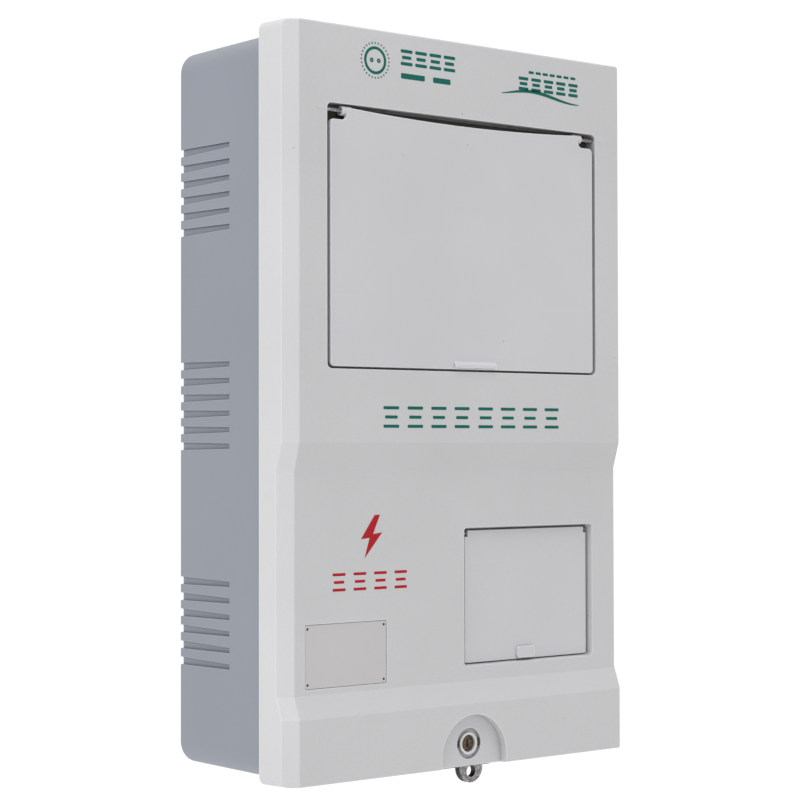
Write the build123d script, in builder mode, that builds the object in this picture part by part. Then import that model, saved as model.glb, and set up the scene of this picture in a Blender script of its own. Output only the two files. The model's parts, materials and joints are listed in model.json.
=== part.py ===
"""A wall-hung single-phase electricity meter box: grey rear case, hinged front cover with a window flap and a
breaker flap, bottom lock and padlock eyes, and inside it a smart meter, a two-pole breaker and their wiring.

Frame: millimetres, +Z up, +Y into the wall, +X to the right seen from the front.
The origin is the centre of the four wall holes, on the case's rear face.
"""

import os
from math import cos, radians, sin, sqrt

from build123d import *

os.makedirs("parts", exist_ok=True)

# ---- Driving dimensions -----------------------------------------------------------------------------------------
case_depth = 106.0          # wall face to the cover's front face
cover_w, cover_h = 244.0, 400.0
skirt_depth = 26.0          # front face back to the cover's rim
draft = 2.0                 # degrees, on the cover's skirt
cover_wall = 2.2
cover_corner = 4.5          # corner radius of the cover's outline
edge_chamfer = 6.5          # flat down both long front edges
edge_round = 1.2            # rounding on every front edge
set_back = 4.6              # how far the lower zone lies behind the front face
hood_overhang = 2.0         # the top edge runs this much further back than the rim

box_w, box_h = 240.0, 396.0
box_mid_z = -1.0
box_corner = 12.5
box_wall = 3.2
lip_inset = 1.4             # the case's front lip, inside the cover's rim
lip_depth = 6.5
seam_gap = 0.8              # open seam between rim and case shoulder

wall_hole_r = 3.5
wall_span_x, wall_span_z = 170.0, 340.0

front_y = -case_depth
rim_y = front_y + skirt_depth
shoulder_y = rim_y + seam_gap
low_y = front_y + set_back              # front plane of the lower zone
half_w = cover_w / 2
box_low_z = box_mid_z - box_h / 2
box_top_z = box_mid_z + box_h / 2

# Heights where the front steps back and comes forward again.
step_top_z, step_foot_z = -21.5, -36.5
strip_top_z, strip_face_z = -153.4, -165.4


def facing(y):
    """A plane at depth y that looks out of the front: x runs right, y runs up, and extrusion comes forward."""
    return Plane(origin=(0, y, 0), x_dir=(1, 0, 0), z_dir=(0, -1, 0))


def sideways(x):
    """A plane across the box at x: its x is depth, its y is height, and extrusion runs right."""
    return Plane.YZ.offset(x)


def level(z):
    """A horizontal plane at height z: extrusion runs up."""
    return Plane.XY.offset(z)


def save(piece, name):
    """Label a finished piece and write its STEP file."""
    piece.part.label = name
    export_step(piece.part, f"parts/{name}.step")


# ---- Cover: outer form -----------------------------------------------------------------------------------------
rim_w = cover_w + 2 * skirt_depth * sin(radians(draft)) / cos(radians(draft))
rim_h = cover_h + (rim_w - cover_w)
rim_inner_z = rim_h / 2 - cover_wall


def front_profile(inset, x):
    """Side outline of the cover's front, moved back by inset, drawn on the plane at x."""
    beyond = cover_h
    with BuildSketch(sideways(x)) as profile:
        with BuildLine():
            Polyline(
                (rim_y + 10, beyond), (front_y + inset, beyond), (front_y + inset, step_top_z),
                (low_y + inset, step_foot_z), (low_y + inset, strip_top_z), (front_y + inset, strip_face_z),
                (front_y + inset, -beyond), (rim_y + 10, -beyond), close=True,
            )
        make_face()
    return profile


def cover_form(inset):
    """The cover's form as a solid: drafted skirt cut by the stepped front and its 45 degree edge flats."""
    flat_x = half_w - edge_chamfer - inset * (sqrt(2) - 1)
    reach = edge_chamfer + 6
    with BuildPart() as stepped:
        extrude(front_profile(inset, 0).sketch, amount=flat_x, both=True)
        extrude(front_profile(inset, flat_x).sketch, amount=reach * sqrt(2), dir=(1, 1, 0))
        extrude(front_profile(inset, -flat_x).sketch, amount=reach * sqrt(2), dir=(-1, 1, 0))
    with BuildPart() as form:
        with BuildSketch(facing(rim_y)):
            RectangleRounded(rim_w - 2 * inset, rim_h - 2 * inset, cover_corner - inset / 2)
        extrude(amount=skirt_depth + 1, taper=draft)
        add(stepped.part, mode=Mode.INTERSECT)
        if inset == 0:
            behind_folds = rim_y - edge_chamfer
            fillet([e for e in form.edges() if is_front_edge(e, behind_folds)], radius=edge_round)
    return form


def is_front_edge(edge, behind_folds):
    """True for the folds, step lines and end lines of the cover's front, and not for its skirt's corners."""
    middle = edge.center()
    return middle.Y < behind_folds and edge.geom_type != GeomType.BEZIER



# ---- Window flap, breaker flap and lock: shared places --------------------------------------------------------------
window_w = 194.6                        # recess in the upper zone, centred
window_low_z, window_top_z = 17.6, 157.8
window_floor_y = front_y + 9.0
floor_t = 2.5
pane_open_w = 170.0
pane_open_low_z, pane_open_top_z = 29.0, 146.0
pane_t, pane_seal_t, pane_lap = 2.8, 0.8, 5.0
pane_back_y = window_floor_y + floor_t + pane_seal_t + pane_t
pane_posts = [(x, z) for x in (-94.0, 94.0) for z in (36.0, 87.5, 139.0)]
flap_t = 2.2
flap_side_gap = 2.2
flap_axis_y, flap_axis_z = front_y + 2.7, 154.4
flap_lug_r, flap_pin_r = 2.6, 1.25
flap_notch_x, flap_notch_z = 84.4, 149.4   # the flap's upper corners are cut out here
flap_rest_w, flap_rest_low_z, flap_rest_top_z = 2.9, 24.0, 147.0   # ledge behind the flap's right edge
flap_rest_y = front_y + flap_t + 0.5

hatch_low_z, hatch_top_z = -145.2, -68.6   # breaker recess in the lower zone
hatch_left_x, hatch_right_x = 0.4, 98.0
hatch_floor_y = low_y + 5.5
hatch_floor_t = 3.0
hatch_draft = 12.0                      # degrees, on the breaker recess's walls
hatch_mid_x = (hatch_left_x + hatch_right_x) / 2
hatch_mid_z = (hatch_low_z + hatch_top_z) / 2
hatch_flap_w, hatch_flap_low_z, hatch_flap_top_z = 92.4, -143.9, -70.3
hatch_flap_y = low_y + 2.5              # front face of the breaker flap
hatch_flap_t = 1.9
hatch_axis_y, hatch_axis_z = hatch_flap_y + 1.7, -72.0
hatch_lug_r, hatch_pin_r = 1.7, 0.8
hatch_tab_x = 47.2

lock_x, lock_z = 3.8, -188.0
arch_r, arch_z = 23.3, -194.8
arch_floor_y = front_y + 5.0
arch_floor_t = 2.0
well_r, well_depth = 8.6, 2.0
sleeve_r, sleeve_bore_r = 6.2, 4.7
core_r = 4.55
boss_r = 10.4
boss_back_y = front_y + 12.0
lock_bar_front_y, lock_bar_back_y = -89.9, -87.3
rivet_spots = [(lock_x - 13.75, -184.0), (lock_x + 13.75, -184.0)]
rivet_r, rivet_depth = 1.25, 1.2        # blind, from behind the arch's floor
lock_bar_length, lock_bar_h = 17.6, 5.4
lock_stem_r = 2.3
key_slit_w, key_slit_h, key_slit_depth = 0.8, 4.2, 3.5
catch_y = lock_bar_front_y - 0.5        # rear face of the catch plate, in front of the lock's bar
catch_t, catch_w, catch_top_z = 1.6, 32.0, -174.0
catch_foot_back_y = -60.0
catch_slot_w, catch_slot_d = 18.0, 4.4

eye_x, eye_r, eye_hole_r = 7.0, 8.3, 3.2
eye_z, eye_hole_z = -201.8, -203.9
eye_front_y, eye_back_y = front_y + 7.05, front_y + 9.0    # front faces of the cover's eye and the case's eye
eye_front_t, eye_back_t = 1.6, 1.9
cover_eye_bar_z, cover_eye_top_z = -200.9, -198.6       # the bar that joins the cover eye's two arms

hinge_y, hinge_z = -77.0, 199.8         # axis that the cover swings about
hinge_r, hinge_pin_r, hinge_bore_r = 2.4, 1.2, 1.25
knuckle_mid_x, knuckle_w = 75.0, 17.2
ear_w, ear_gap = 6.0, 0.4

plate_x, plate_z = -81.6, -133.5        # blank nameplate, lower left
plate_w, plate_h, plate_recess = 54.3, 33.8, 0.8
plate_hole_dx, plate_hole_dz = 50.6, 29.2

board_y, board_t = -20.0, 3.0           # meter board's rear face and thickness
board_posts = [(-98, 150), (98, 150), (-98, -28), (98, -28)]
rail_y, rail_depth = -24.5, 7.5         # DIN rail's rear face
rail_z = -107.0
rail_posts = [(0, rail_z), (98, rail_z)]
bar_posts = [(-90, -110), (-40, -110)]
bar_y = -20.0
gland_spots = [(-62, -38), (62, -38)]   # cable entries in the bottom wall, as (x, y)
gland_hole_r = 15.0
bracket_screw_spots = [(eye_x, -68), (eye_x, -48)]

vent_pitch, vent_rows, vent_depth = 8.87, 6, 1.8
vent_group_pitch, vent_groups = 118.7, 3
vent_front_y = -48.1
vent_front_h, vent_rear_h = 2.7, 4.2


# ---- Rear case -----------------------------------------------------------------------------------------------------
with BuildPart() as rear_box:
    with BuildSketch(facing(0)):
        with Locations((0, box_mid_z)):
            RectangleRounded(box_w, box_h, box_corner)
    extrude(amount=-shoulder_y)
    with BuildSketch(facing(shoulder_y)):
        with Locations((0, box_mid_z)):
            RectangleRounded(box_w - 2 * lip_inset, box_h - 2 * lip_inset, box_corner - lip_inset)
    extrude(amount=lip_depth)
    with BuildSketch(facing(-box_wall)):
        with Locations((0, box_mid_z)):
            RectangleRounded(box_w - 2 * box_wall, box_h - 2 * box_wall, box_corner - box_wall)
    extrude(amount=case_depth, mode=Mode.SUBTRACT)
    # Posts for the meter board, the DIN rail and the earth bar, and pads round the wall holes.
    with BuildSketch(facing(-box_wall + 0.5)):
        with Locations(*board_posts):
            Circle(5.0)
    extrude(amount=-board_y - box_wall + 0.5)
    with BuildSketch(facing(-box_wall + 0.5)):
        with Locations(*rail_posts):
            Circle(6.0)
    extrude(amount=-rail_y - box_wall + 0.5)
    with BuildSketch(facing(-box_wall + 0.5)):
        with Locations(*bar_posts):
            Circle(4.5)
    extrude(amount=-bar_y - box_wall + 0.5)
    with BuildSketch(facing(-box_wall + 0.5)):
        with GridLocations(wall_span_x, wall_span_z, 2, 2):
            Circle(9.0)
    extrude(amount=3.5)
    with BuildSketch(facing(1)):
        with GridLocations(wall_span_x, wall_span_z, 2, 2):
            Circle(wall_hole_r)
    extrude(amount=12, mode=Mode.SUBTRACT)
    # Blind pilot holes in the posts.
    with BuildSketch(facing(board_y - 1)):
        with Locations(*board_posts):
            Circle(1.6)
    extrude(amount=-13, mode=Mode.SUBTRACT)
    with BuildSketch(facing(rail_y - 1)):
        with Locations(*rail_posts):
            Circle(1.9)
    extrude(amount=-15, mode=Mode.SUBTRACT)
    with BuildSketch(facing(bar_y - 1)):
        with Locations(*bar_posts):
            Circle(1.6)
    extrude(amount=-13, mode=Mode.SUBTRACT)
    # Cable entries through the bottom wall.
    with BuildSketch(level(box_low_z - 1)):
        with Locations(*gland_spots):
            Circle(gland_hole_r)
    extrude(amount=box_wall + 2, mode=Mode.SUBTRACT)
    # Drillings for the two screws of the eye bracket.
    with BuildSketch(level(box_low_z - 1)):
        with Locations(*bracket_screw_spots):
            Circle(2.0)
    extrude(amount=box_wall + 2, mode=Mode.SUBTRACT)
    # Louvre grooves in both side walls: they open out at the wall face and end square in front.
    for way in (-1, 1):
        with BuildSketch(sideways(way * (box_w / 2 + 1))):
            with GridLocations(0, vent_group_pitch, 1, vent_groups):
                with GridLocations(0, vent_pitch, 1, vent_rows):
                    with Locations((0, box_mid_z)):
                        Polygon(
                            (1, -vent_rear_h / 2), (1, vent_rear_h / 2),
                            (vent_front_y, vent_front_h / 2), (vent_front_y, -vent_front_h / 2), align=None,
                        )
        extrude(amount=-way * (vent_depth + 1), mode=Mode.SUBTRACT)
    # Hinge ears on the top edge, in pairs.
    for way in (-1, 1):
        for side_of_knuckle in (-1, 1):
            ear_x = way * knuckle_mid_x + side_of_knuckle * (knuckle_w / 2 + ear_gap + ear_w / 2)
            with BuildSketch(sideways(ear_x)):
                with Locations((hinge_y, hinge_z)):
                    Circle(hinge_r)
                with Locations((hinge_y, (hinge_z + box_top_z - 1) / 2)):
                    Rectangle(2 * hinge_r - 0.4, hinge_z - box_top_z + 1)
            extrude(amount=ear_w / 2, both=True)
    with BuildSketch(sideways(0)):
        with Locations((hinge_y, hinge_z)):
            Circle(hinge_pin_r)
    extrude(amount=box_w / 2, both=True, mode=Mode.SUBTRACT)
save(rear_box, "rear_box")

with BuildPart() as rim_seal:
    with BuildSketch(facing(shoulder_y)) as seal_ring:
        with Locations((0, box_mid_z)):
            RectangleRounded(box_w - 2 * lip_inset + 1.6, box_h - 2 * lip_inset + 1.6, box_corner - lip_inset + 0.8)
            RectangleRounded(box_w - 2 * lip_inset, box_h - 2 * lip_inset, box_corner - lip_inset,
                             mode=Mode.SUBTRACT)
    extrude(amount=4.5)
save(rim_seal, "rim_seal")

with BuildPart() as hinge_pins:
    with BuildSketch(sideways(0)):
        with Locations((hinge_y, hinge_z)):
            Circle(hinge_pin_r)
    pin_reach = knuckle_mid_x + knuckle_w / 2 + ear_gap + ear_w
    extrude(amount=pin_reach, both=True)
    with BuildSketch(sideways(0)):
        with Locations((hinge_y, hinge_z)):
            Circle(hinge_pin_r + 1)
    extrude(amount=knuckle_mid_x - knuckle_w / 2 - ear_gap - ear_w, both=True, mode=Mode.SUBTRACT)
save(hinge_pins, "hinge_pins")

with BuildPart() as cable_grommets:
    with BuildSketch(level(box_low_z - 2.5)):
        with Locations(*gland_spots):
            Circle(gland_hole_r + 3)
    extrude(amount=2.5)
    with BuildSketch(level(box_low_z)):
        with Locations(*gland_spots):
            Circle(gland_hole_r)
    extrude(amount=box_wall)
    with BuildSketch(level(box_low_z + box_wall)):
        with Locations(*gland_spots):
            Circle(gland_hole_r + 2.5)
    extrude(amount=2.0)
    with BuildSketch(level(box_low_z - 3)):
        with Locations(*gland_spots):
            Circle(9.0)
    extrude(amount=10, mode=Mode.SUBTRACT)
save(cable_grommets, "cable_grommets")

# ---- Lock side of the case: eye bracket and catch -------------------------------------------------------------------
with BuildPart() as eye_bracket:
    with BuildSketch(facing(eye_back_y + eye_back_t)):
        with Locations((eye_x, eye_z)):
            Circle(eye_r)
        with Locations((eye_x, (eye_z + box_low_z) / 2)):
            Rectangle(2 * eye_r, box_low_z - eye_z)
        with Locations((eye_x, eye_z + eye_r)):
            Rectangle(2 * eye_r + 1, 2 * (eye_r - (box_low_z - eye_z)), mode=Mode.SUBTRACT)
        with Locations((eye_x, eye_hole_z)):
            Circle(eye_hole_r, mode=Mode.SUBTRACT)
    extrude(amount=eye_back_t)
    with BuildSketch(level(box_low_z - 2.0)):
        with Locations((eye_x, (eye_back_y + eye_back_t - 40) / 2)):
            Rectangle(2 * eye_r, -40 - eye_back_y - eye_back_t)
    extrude(amount=2.0)
    with BuildSketch(level(box_low_z - 3)):
        with Locations(*bracket_screw_spots):
            Circle(2.1)
    extrude(amount=4, mode=Mode.SUBTRACT)
save(eye_bracket, "eye_bracket")

with BuildPart() as lock_catch:
    with BuildSketch(facing(catch_y)):
        with Locations((lock_x, (box_low_z + box_wall + catch_top_z) / 2)):
            Rectangle(catch_w, catch_top_z - box_low_z - box_wall)
        with Locations((lock_x, lock_z)):
            Rectangle(lock_bar_length + 3.8, lock_bar_h + 2.0, mode=Mode.SUBTRACT)
    extrude(amount=catch_t)
    with BuildSketch(level(box_low_z + box_wall)):
        with Locations((lock_x, (catch_y + catch_foot_back_y) / 2)):
            Rectangle(catch_w, catch_foot_back_y - catch_y)
    extrude(amount=catch_t)
    with BuildSketch(level(box_low_z + box_wall - 1)):
        with Locations(bracket_screw_spots[0]):
            Circle(2.1)
        # Room for the ends of the lock's bar as it turns upright.
        with Locations((lock_x, catch_y + catch_slot_d / 2)):
            Rectangle(catch_slot_w, catch_slot_d)
    extrude(amount=4, mode=Mode.SUBTRACT)
save(lock_catch, "lock_catch")

with BuildPart() as bracket_screws:
    # One screw clamps bracket and catch through the wall, the other holds the bracket's tail.
    for spot_y, screw_top in ((-68, box_low_z + box_wall + 1.6 + 3.2), (-48, box_low_z + box_wall)):
        with BuildSketch(level(box_low_z - 2.0 - 2.4)):
            with Locations((eye_x, spot_y)):
                Circle(3.8)
        extrude(amount=2.4)
        with BuildSketch(level(box_low_z - 2.0)):
            with Locations((eye_x, spot_y)):
                Circle(2.0)
        extrude(amount=screw_top - box_low_z + 2.0)
        with BuildSketch(level(box_low_z - 2.0 - 2.5)):
            with Locations((eye_x, spot_y)):
                RegularPolygon(1.7, 6)
        extrude(amount=1.6, mode=Mode.SUBTRACT)
save(bracket_screws, "bracket_screws")

# ---- Front cover ----------------------------------------------------------------------------------------------------
def recess_ring(y_from, low, top, left, right, wall, corner):
    """Sketch of a block round a recess, on a front-facing plane: the recess outline grown by wall."""
    with BuildSketch(facing(y_from)) as ring:
        with Locations(((left + right) / 2, (low + top) / 2)):
            RectangleRounded(right - left + 2 * wall, top - low + 2 * wall, corner + wall)
    return ring.sketch


def arch(y, r):
    """Sketch of the lock recess's arch: a circle that runs straight down past the cover's lower edge."""
    with BuildSketch(facing(y)) as outline:
        with Locations((lock_x, arch_z)):
            Circle(r)
        with Locations((lock_x, arch_z - 10)):
            Rectangle(2 * r, 20)
    return outline.sketch


hollow = cover_form(cover_wall)
knuckle_xs = (-knuckle_mid_x, knuckle_mid_x)

with BuildPart() as front_cover:
    add(cover_form(0).part)
    add(hollow.part, mode=Mode.SUBTRACT)
    # The hood: the top wall runs a little further back than the rim.
    with BuildSketch(facing(rim_y + hood_overhang)):
        with Locations((0, rim_h / 2 - cover_wall / 2)):
            Rectangle(rim_w - 12, cover_wall)
    extrude(amount=hood_overhang + 1)
    # Window tub.
    extrude(recess_ring(window_floor_y + floor_t, window_low_z, window_top_z, -window_w / 2, window_w / 2, 2.2, 3.0),
            amount=window_floor_y + floor_t - front_y - 1)
    extrude(recess_ring(window_floor_y, window_low_z, window_top_z, -window_w / 2, window_w / 2, 0, 3.0),
            amount=12, mode=Mode.SUBTRACT)
    with BuildSketch(facing(window_floor_y + floor_t + 1)):
        with Locations((0, (pane_open_low_z + pane_open_top_z) / 2)):
            RectangleRounded(pane_open_w, pane_open_top_z - pane_open_low_z, 4)
    extrude(amount=6, mode=Mode.SUBTRACT)
    # Ledge on the right wall, where the flap's edge comes to rest.
    with BuildSketch(facing(window_floor_y)):
        with Locations((window_w / 2 - flap_rest_w / 2 + 0.15, (flap_rest_low_z + flap_rest_top_z) / 2)):
            Rectangle(flap_rest_w + 0.3, flap_rest_top_z - flap_rest_low_z)
    extrude(amount=window_floor_y - flap_rest_y)
    # Bosses and bores for the window flap's pins.
    with BuildSketch(sideways(0)):
        with Locations((flap_axis_y, flap_axis_z)):
            Circle(flap_pin_r + 1.6)
    extrude(amount=window_w / 2 + 6, both=True)
    with BuildSketch(sideways(0)):
        with Locations((flap_axis_y, flap_axis_z)):
            Circle(flap_pin_r + 1.7)
    extrude(amount=window_w / 2, both=True, mode=Mode.SUBTRACT)
    with BuildSketch(sideways(0)):
        with Locations((flap_axis_y, flap_axis_z)):
            Circle(flap_pin_r + 0.05)
    extrude(amount=window_w / 2 + 4.5, both=True, mode=Mode.SUBTRACT)
    # Breaker tub, with drafted walls.
    extrude(recess_ring(hatch_floor_y + hatch_floor_t, hatch_low_z, hatch_top_z, hatch_left_x, hatch_right_x, 2.0, 2.0),
            amount=hatch_floor_y + hatch_floor_t - low_y - 1)
    extrude(recess_ring(low_y, hatch_low_z, hatch_top_z, hatch_left_x, hatch_right_x, 0, 2.0),
            amount=-(hatch_floor_y - low_y), taper=hatch_draft, mode=Mode.SUBTRACT)
    with BuildSketch(facing(hatch_floor_y + hatch_floor_t + 1)):
        with Locations((hatch_mid_x, rail_z)):
            RectangleRounded(74, 46.5, 2)
    extrude(amount=6, mode=Mode.SUBTRACT)
    # Groove along the floor's top, where the breaker flap's edge swings in, and the bores for its pins.
    with BuildSketch(facing(hatch_floor_y + 1.6)):
        with Locations((hatch_mid_x, hatch_flap_top_z - 2.45)):
            Rectangle(hatch_flap_w + 1.6, 7.1)
    extrude(amount=3.5, mode=Mode.SUBTRACT)
    with BuildSketch(sideways(hatch_mid_x)):
        with Locations((hatch_axis_y, hatch_axis_z)):
            Circle(hatch_pin_r + 0.05)
    extrude(amount=hatch_flap_w / 2 + 3.4, both=True, mode=Mode.SUBTRACT)
    # Nameplate recess and its four drive-pin holes.
    with BuildSketch(facing(low_y - 1)):
        with Locations((plate_x, plate_z)):
            RectangleRounded(plate_w, plate_h, 1.0)
    extrude(amount=-1 - plate_recess, mode=Mode.SUBTRACT)
    with BuildSketch(facing(low_y - 1)):
        with Locations((plate_x, plate_z)):
            with GridLocations(plate_hole_dx, plate_hole_dz, 2, 2):
                Circle(0.7)
    extrude(amount=-6, mode=Mode.SUBTRACT)
    # Lock recess: an arch open at the lower edge, its floor, and the boss that holds the lock.
    with BuildPart(mode=Mode.PRIVATE) as arch_block:
        extrude(arch(arch_floor_y + arch_floor_t, arch_r + 2.0), amount=5.5)
        with BuildSketch(facing(boss_back_y)):
            with Locations((lock_x, lock_z)):
                Circle(boss_r)
        extrude(amount=boss_back_y - arch_floor_y - 1)
        add(cover_form(0.1).part, mode=Mode.INTERSECT)
    add(arch_block.part)
    extrude(arch(arch_floor_y, arch_r), amount=12, mode=Mode.SUBTRACT)
    with BuildSketch(facing(arch_floor_y - 1)):
        with Locations((lock_x, lock_z)):
            Circle(well_r)
    extrude(amount=-1 - well_depth, mode=Mode.SUBTRACT)
    with BuildSketch(facing(arch_floor_y - 1)):
        with Locations((lock_x, lock_z)):
            Circle(sleeve_r)
    extrude(amount=-20, mode=Mode.SUBTRACT)
    with BuildSketch(facing(arch_floor_y + well_depth - 0.5)):
        with Locations((lock_x, lock_z)):
            with GridLocations(well_r + sleeve_r - 1.0, 0, 2, 1):
                Rectangle(well_r - sleeve_r + 1.0, 3.8)
    extrude(amount=-3.0, mode=Mode.SUBTRACT)
    # Slots in the lower wall for the two padlock eyes, and rivet holes for the cover's own eye.
    with BuildSketch(level(-rim_h / 2 - 1)):
        with Locations((lock_x, eye_front_y + eye_front_t / 2)):
            Rectangle(34.0, eye_front_t + 0.2)
        with Locations((eye_x, (eye_back_y - 0.3 + rim_y + 1) / 2)):
            Rectangle(2 * eye_r + 1.0, rim_y + 1 - eye_back_y + 0.3)
    extrude(amount=4.6, mode=Mode.SUBTRACT)
    with BuildSketch(facing(arch_floor_y + arch_floor_t)):
        with Locations(*rivet_spots):
            Circle(rivet_r)
    extrude(amount=rivet_depth, mode=Mode.SUBTRACT)
    # Hinge knuckles under the hood, with room for the case's ears beside them.
    with BuildSketch(level(rim_h / 2 + 3)):
        with Locations(*[(x, hinge_y + 0.5) for x in knuckle_xs]):
            Rectangle(knuckle_w + 2 * (ear_w + 2 * ear_gap), 6.8)
    extrude(amount=-8, mode=Mode.SUBTRACT)
    for knuckle_x in knuckle_xs:
        with BuildSketch(sideways(knuckle_x)):
            with Locations((hinge_y, hinge_z)):
                Circle(hinge_r)
            with Locations(((hinge_y + rim_y - 1) / 2, hinge_z)):
                Rectangle(hinge_y - rim_y + 1, 1.9)
        extrude(amount=knuckle_w / 2, both=True)
    with BuildSketch(sideways(0)):
        with Locations((hinge_y, hinge_z)):
            Circle(hinge_bore_r)
    extrude(amount=knuckle_mid_x + knuckle_w, both=True, mode=Mode.SUBTRACT)
    # Pane posts behind the window floor.
    with BuildSketch(facing(pane_back_y)):
        with Locations(*pane_posts):
            Circle(3.2)
    extrude(amount=pane_back_y - window_floor_y - floor_t + 0.5)
    with BuildSketch(facing(pane_back_y + 1)):
        with Locations(*pane_posts):
            Circle(1.2)
    extrude(amount=4.6, mode=Mode.SUBTRACT)
save(front_cover, "front_cover")

# ---- Pieces carried by the cover ------------------------------------------------------------------------------------
pane_mid_z = (pane_open_low_z + pane_open_top_z) / 2
pane_w = pane_open_w + 2 * pane_lap
pane_h = pane_open_top_z - pane_open_low_z + 2 * pane_lap

with BuildPart() as window_pane:
    with BuildSketch(facing(pane_back_y)):
        with Locations((0, pane_mid_z)):
            RectangleRounded(pane_w, pane_h, 3)
    extrude(amount=pane_t)
save(window_pane, "window_pane")

with BuildPart() as pane_seal:
    with BuildSketch(facing(window_floor_y + floor_t + pane_seal_t)):
        with Locations((0, pane_mid_z)):
            RectangleRounded(pane_w, pane_h, 3)
            RectangleRounded(pane_open_w + 2, pane_open_top_z - pane_open_low_z + 2, 4, mode=Mode.SUBTRACT)
    extrude(amount=pane_seal_t)
save(pane_seal, "pane_seal")

with BuildPart() as pane_clips:
    with BuildSketch(facing(pane_back_y + 1.2)):
        with Locations(*[(x - 2.2 * (1 if x > 0 else -1), z) for x, z in pane_posts]):
            RectangleRounded(12.0, 9.0, 2.0)
        with Locations(*pane_posts):
            Circle(1.6, mode=Mode.SUBTRACT)
    extrude(amount=1.2)
save(pane_clips, "pane_clips")

with BuildPart() as pane_screws:
    with BuildSketch(facing(pane_back_y + 1.2 + 2.0)):
        with Locations(*pane_posts):
            Circle(2.7)
    extrude(amount=2.0)
    with BuildSketch(facing(pane_back_y + 1.3)):
        with Locations(*pane_posts):
            Circle(1.2)
    extrude(amount=4.3)
    with BuildSketch(facing(pane_back_y + 1.2 + 2.1)):
        with Locations(*pane_posts):
            Rectangle(3.2, 0.7)
            Rectangle(0.7, 3.2)
    extrude(amount=1.2, mode=Mode.SUBTRACT)
save(pane_screws, "pane_screws")

# The window flap: a plate with a shallow hollow in its top edge, cut-out upper corners, a stiffening frame behind,
# a hinge lug in each cut-out and a finger lip at the foot.
flap_half = window_w / 2 - flap_side_gap
flap_low_z, flap_top_z, flap_sag = 18.8, 156.2, 2.8
lip_mid_x, lip_w, lip_h, lip_t = 4.6, 30.0, 4.6, 1.6

with BuildPart() as window_flap:
    with BuildSketch(facing(front_y + flap_t)) as flap_outline:
        with BuildLine():
            Polyline(
                (-flap_notch_x, flap_top_z), (-flap_notch_x, flap_notch_z), (-flap_half, flap_notch_z),
                (-flap_half, flap_low_z), (flap_half, flap_low_z), (flap_half, flap_notch_z),
                (flap_notch_x, flap_notch_z), (flap_notch_x, flap_top_z),
            )
            ThreePointArc((flap_notch_x, flap_top_z), (0, flap_top_z - flap_sag), (-flap_notch_x, flap_top_z))
        make_face()
        fillet([v for v in flap_outline.vertices() if v.Z < flap_low_z + 1], radius=2.5)
    extrude(amount=flap_t)
    fillet(window_flap.faces().sort_by(Axis.Y)[0].outer_wire().edges(), radius=0.5)
    with BuildSketch(facing(front_y + flap_t + 3.0)):
        with Locations((0, (flap_low_z + flap_notch_z) / 2)):
            Rectangle(2 * flap_half - 3, flap_notch_z - flap_low_z - 5)
            Rectangle(2 * flap_half - 6.6, flap_notch_z - flap_low_z - 8.6, mode=Mode.SUBTRACT)
        with Locations((0, flap_notch_z - 3.4)):
            Rectangle(2 * flap_half - 3.2, 2.2, mode=Mode.SUBTRACT)
    extrude(amount=3.2)
    for way in (-1, 1):
        with BuildSketch(sideways(way * (flap_notch_x - 0.6))):
            with Locations((flap_axis_y, flap_axis_z)):
                Circle(flap_lug_r)
        extrude(amount=3.0, both=True)
        with BuildSketch(sideways(way * (flap_notch_x - 0.4))):
            with Locations((flap_axis_y, flap_axis_z)):
                Circle(flap_pin_r)
        extrude(amount=3.2, both=True, mode=Mode.SUBTRACT)
    with BuildPart(mode=Mode.PRIVATE) as lip:
        with BuildSketch(sideways(lip_mid_x)):
            with BuildLine():
                Polyline(
                    (front_y + 0.5, flap_low_z + 0.6), (front_y - lip_t, flap_low_z + 1.0),
                    (front_y - lip_t, flap_low_z + 2.4), (front_y + 0.5, flap_low_z + 0.6 + lip_h), close=True,
                )
            make_face()
        extrude(amount=lip_w / 2, both=True)
    add(lip.part)
save(window_flap, "window_flap")

with BuildPart() as window_flap_pins:
    pin_from, pin_to = flap_notch_x - 3.6, window_w / 2 + 4.0
    for way in (-1, 1):
        with BuildSketch(sideways(way * (pin_from + pin_to) / 2)):
            with Locations((flap_axis_y, flap_axis_z)):
                Circle(flap_pin_r)
        extrude(amount=(pin_to - pin_from) / 2, both=True)
save(window_flap_pins, "window_flap_pins")

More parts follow.
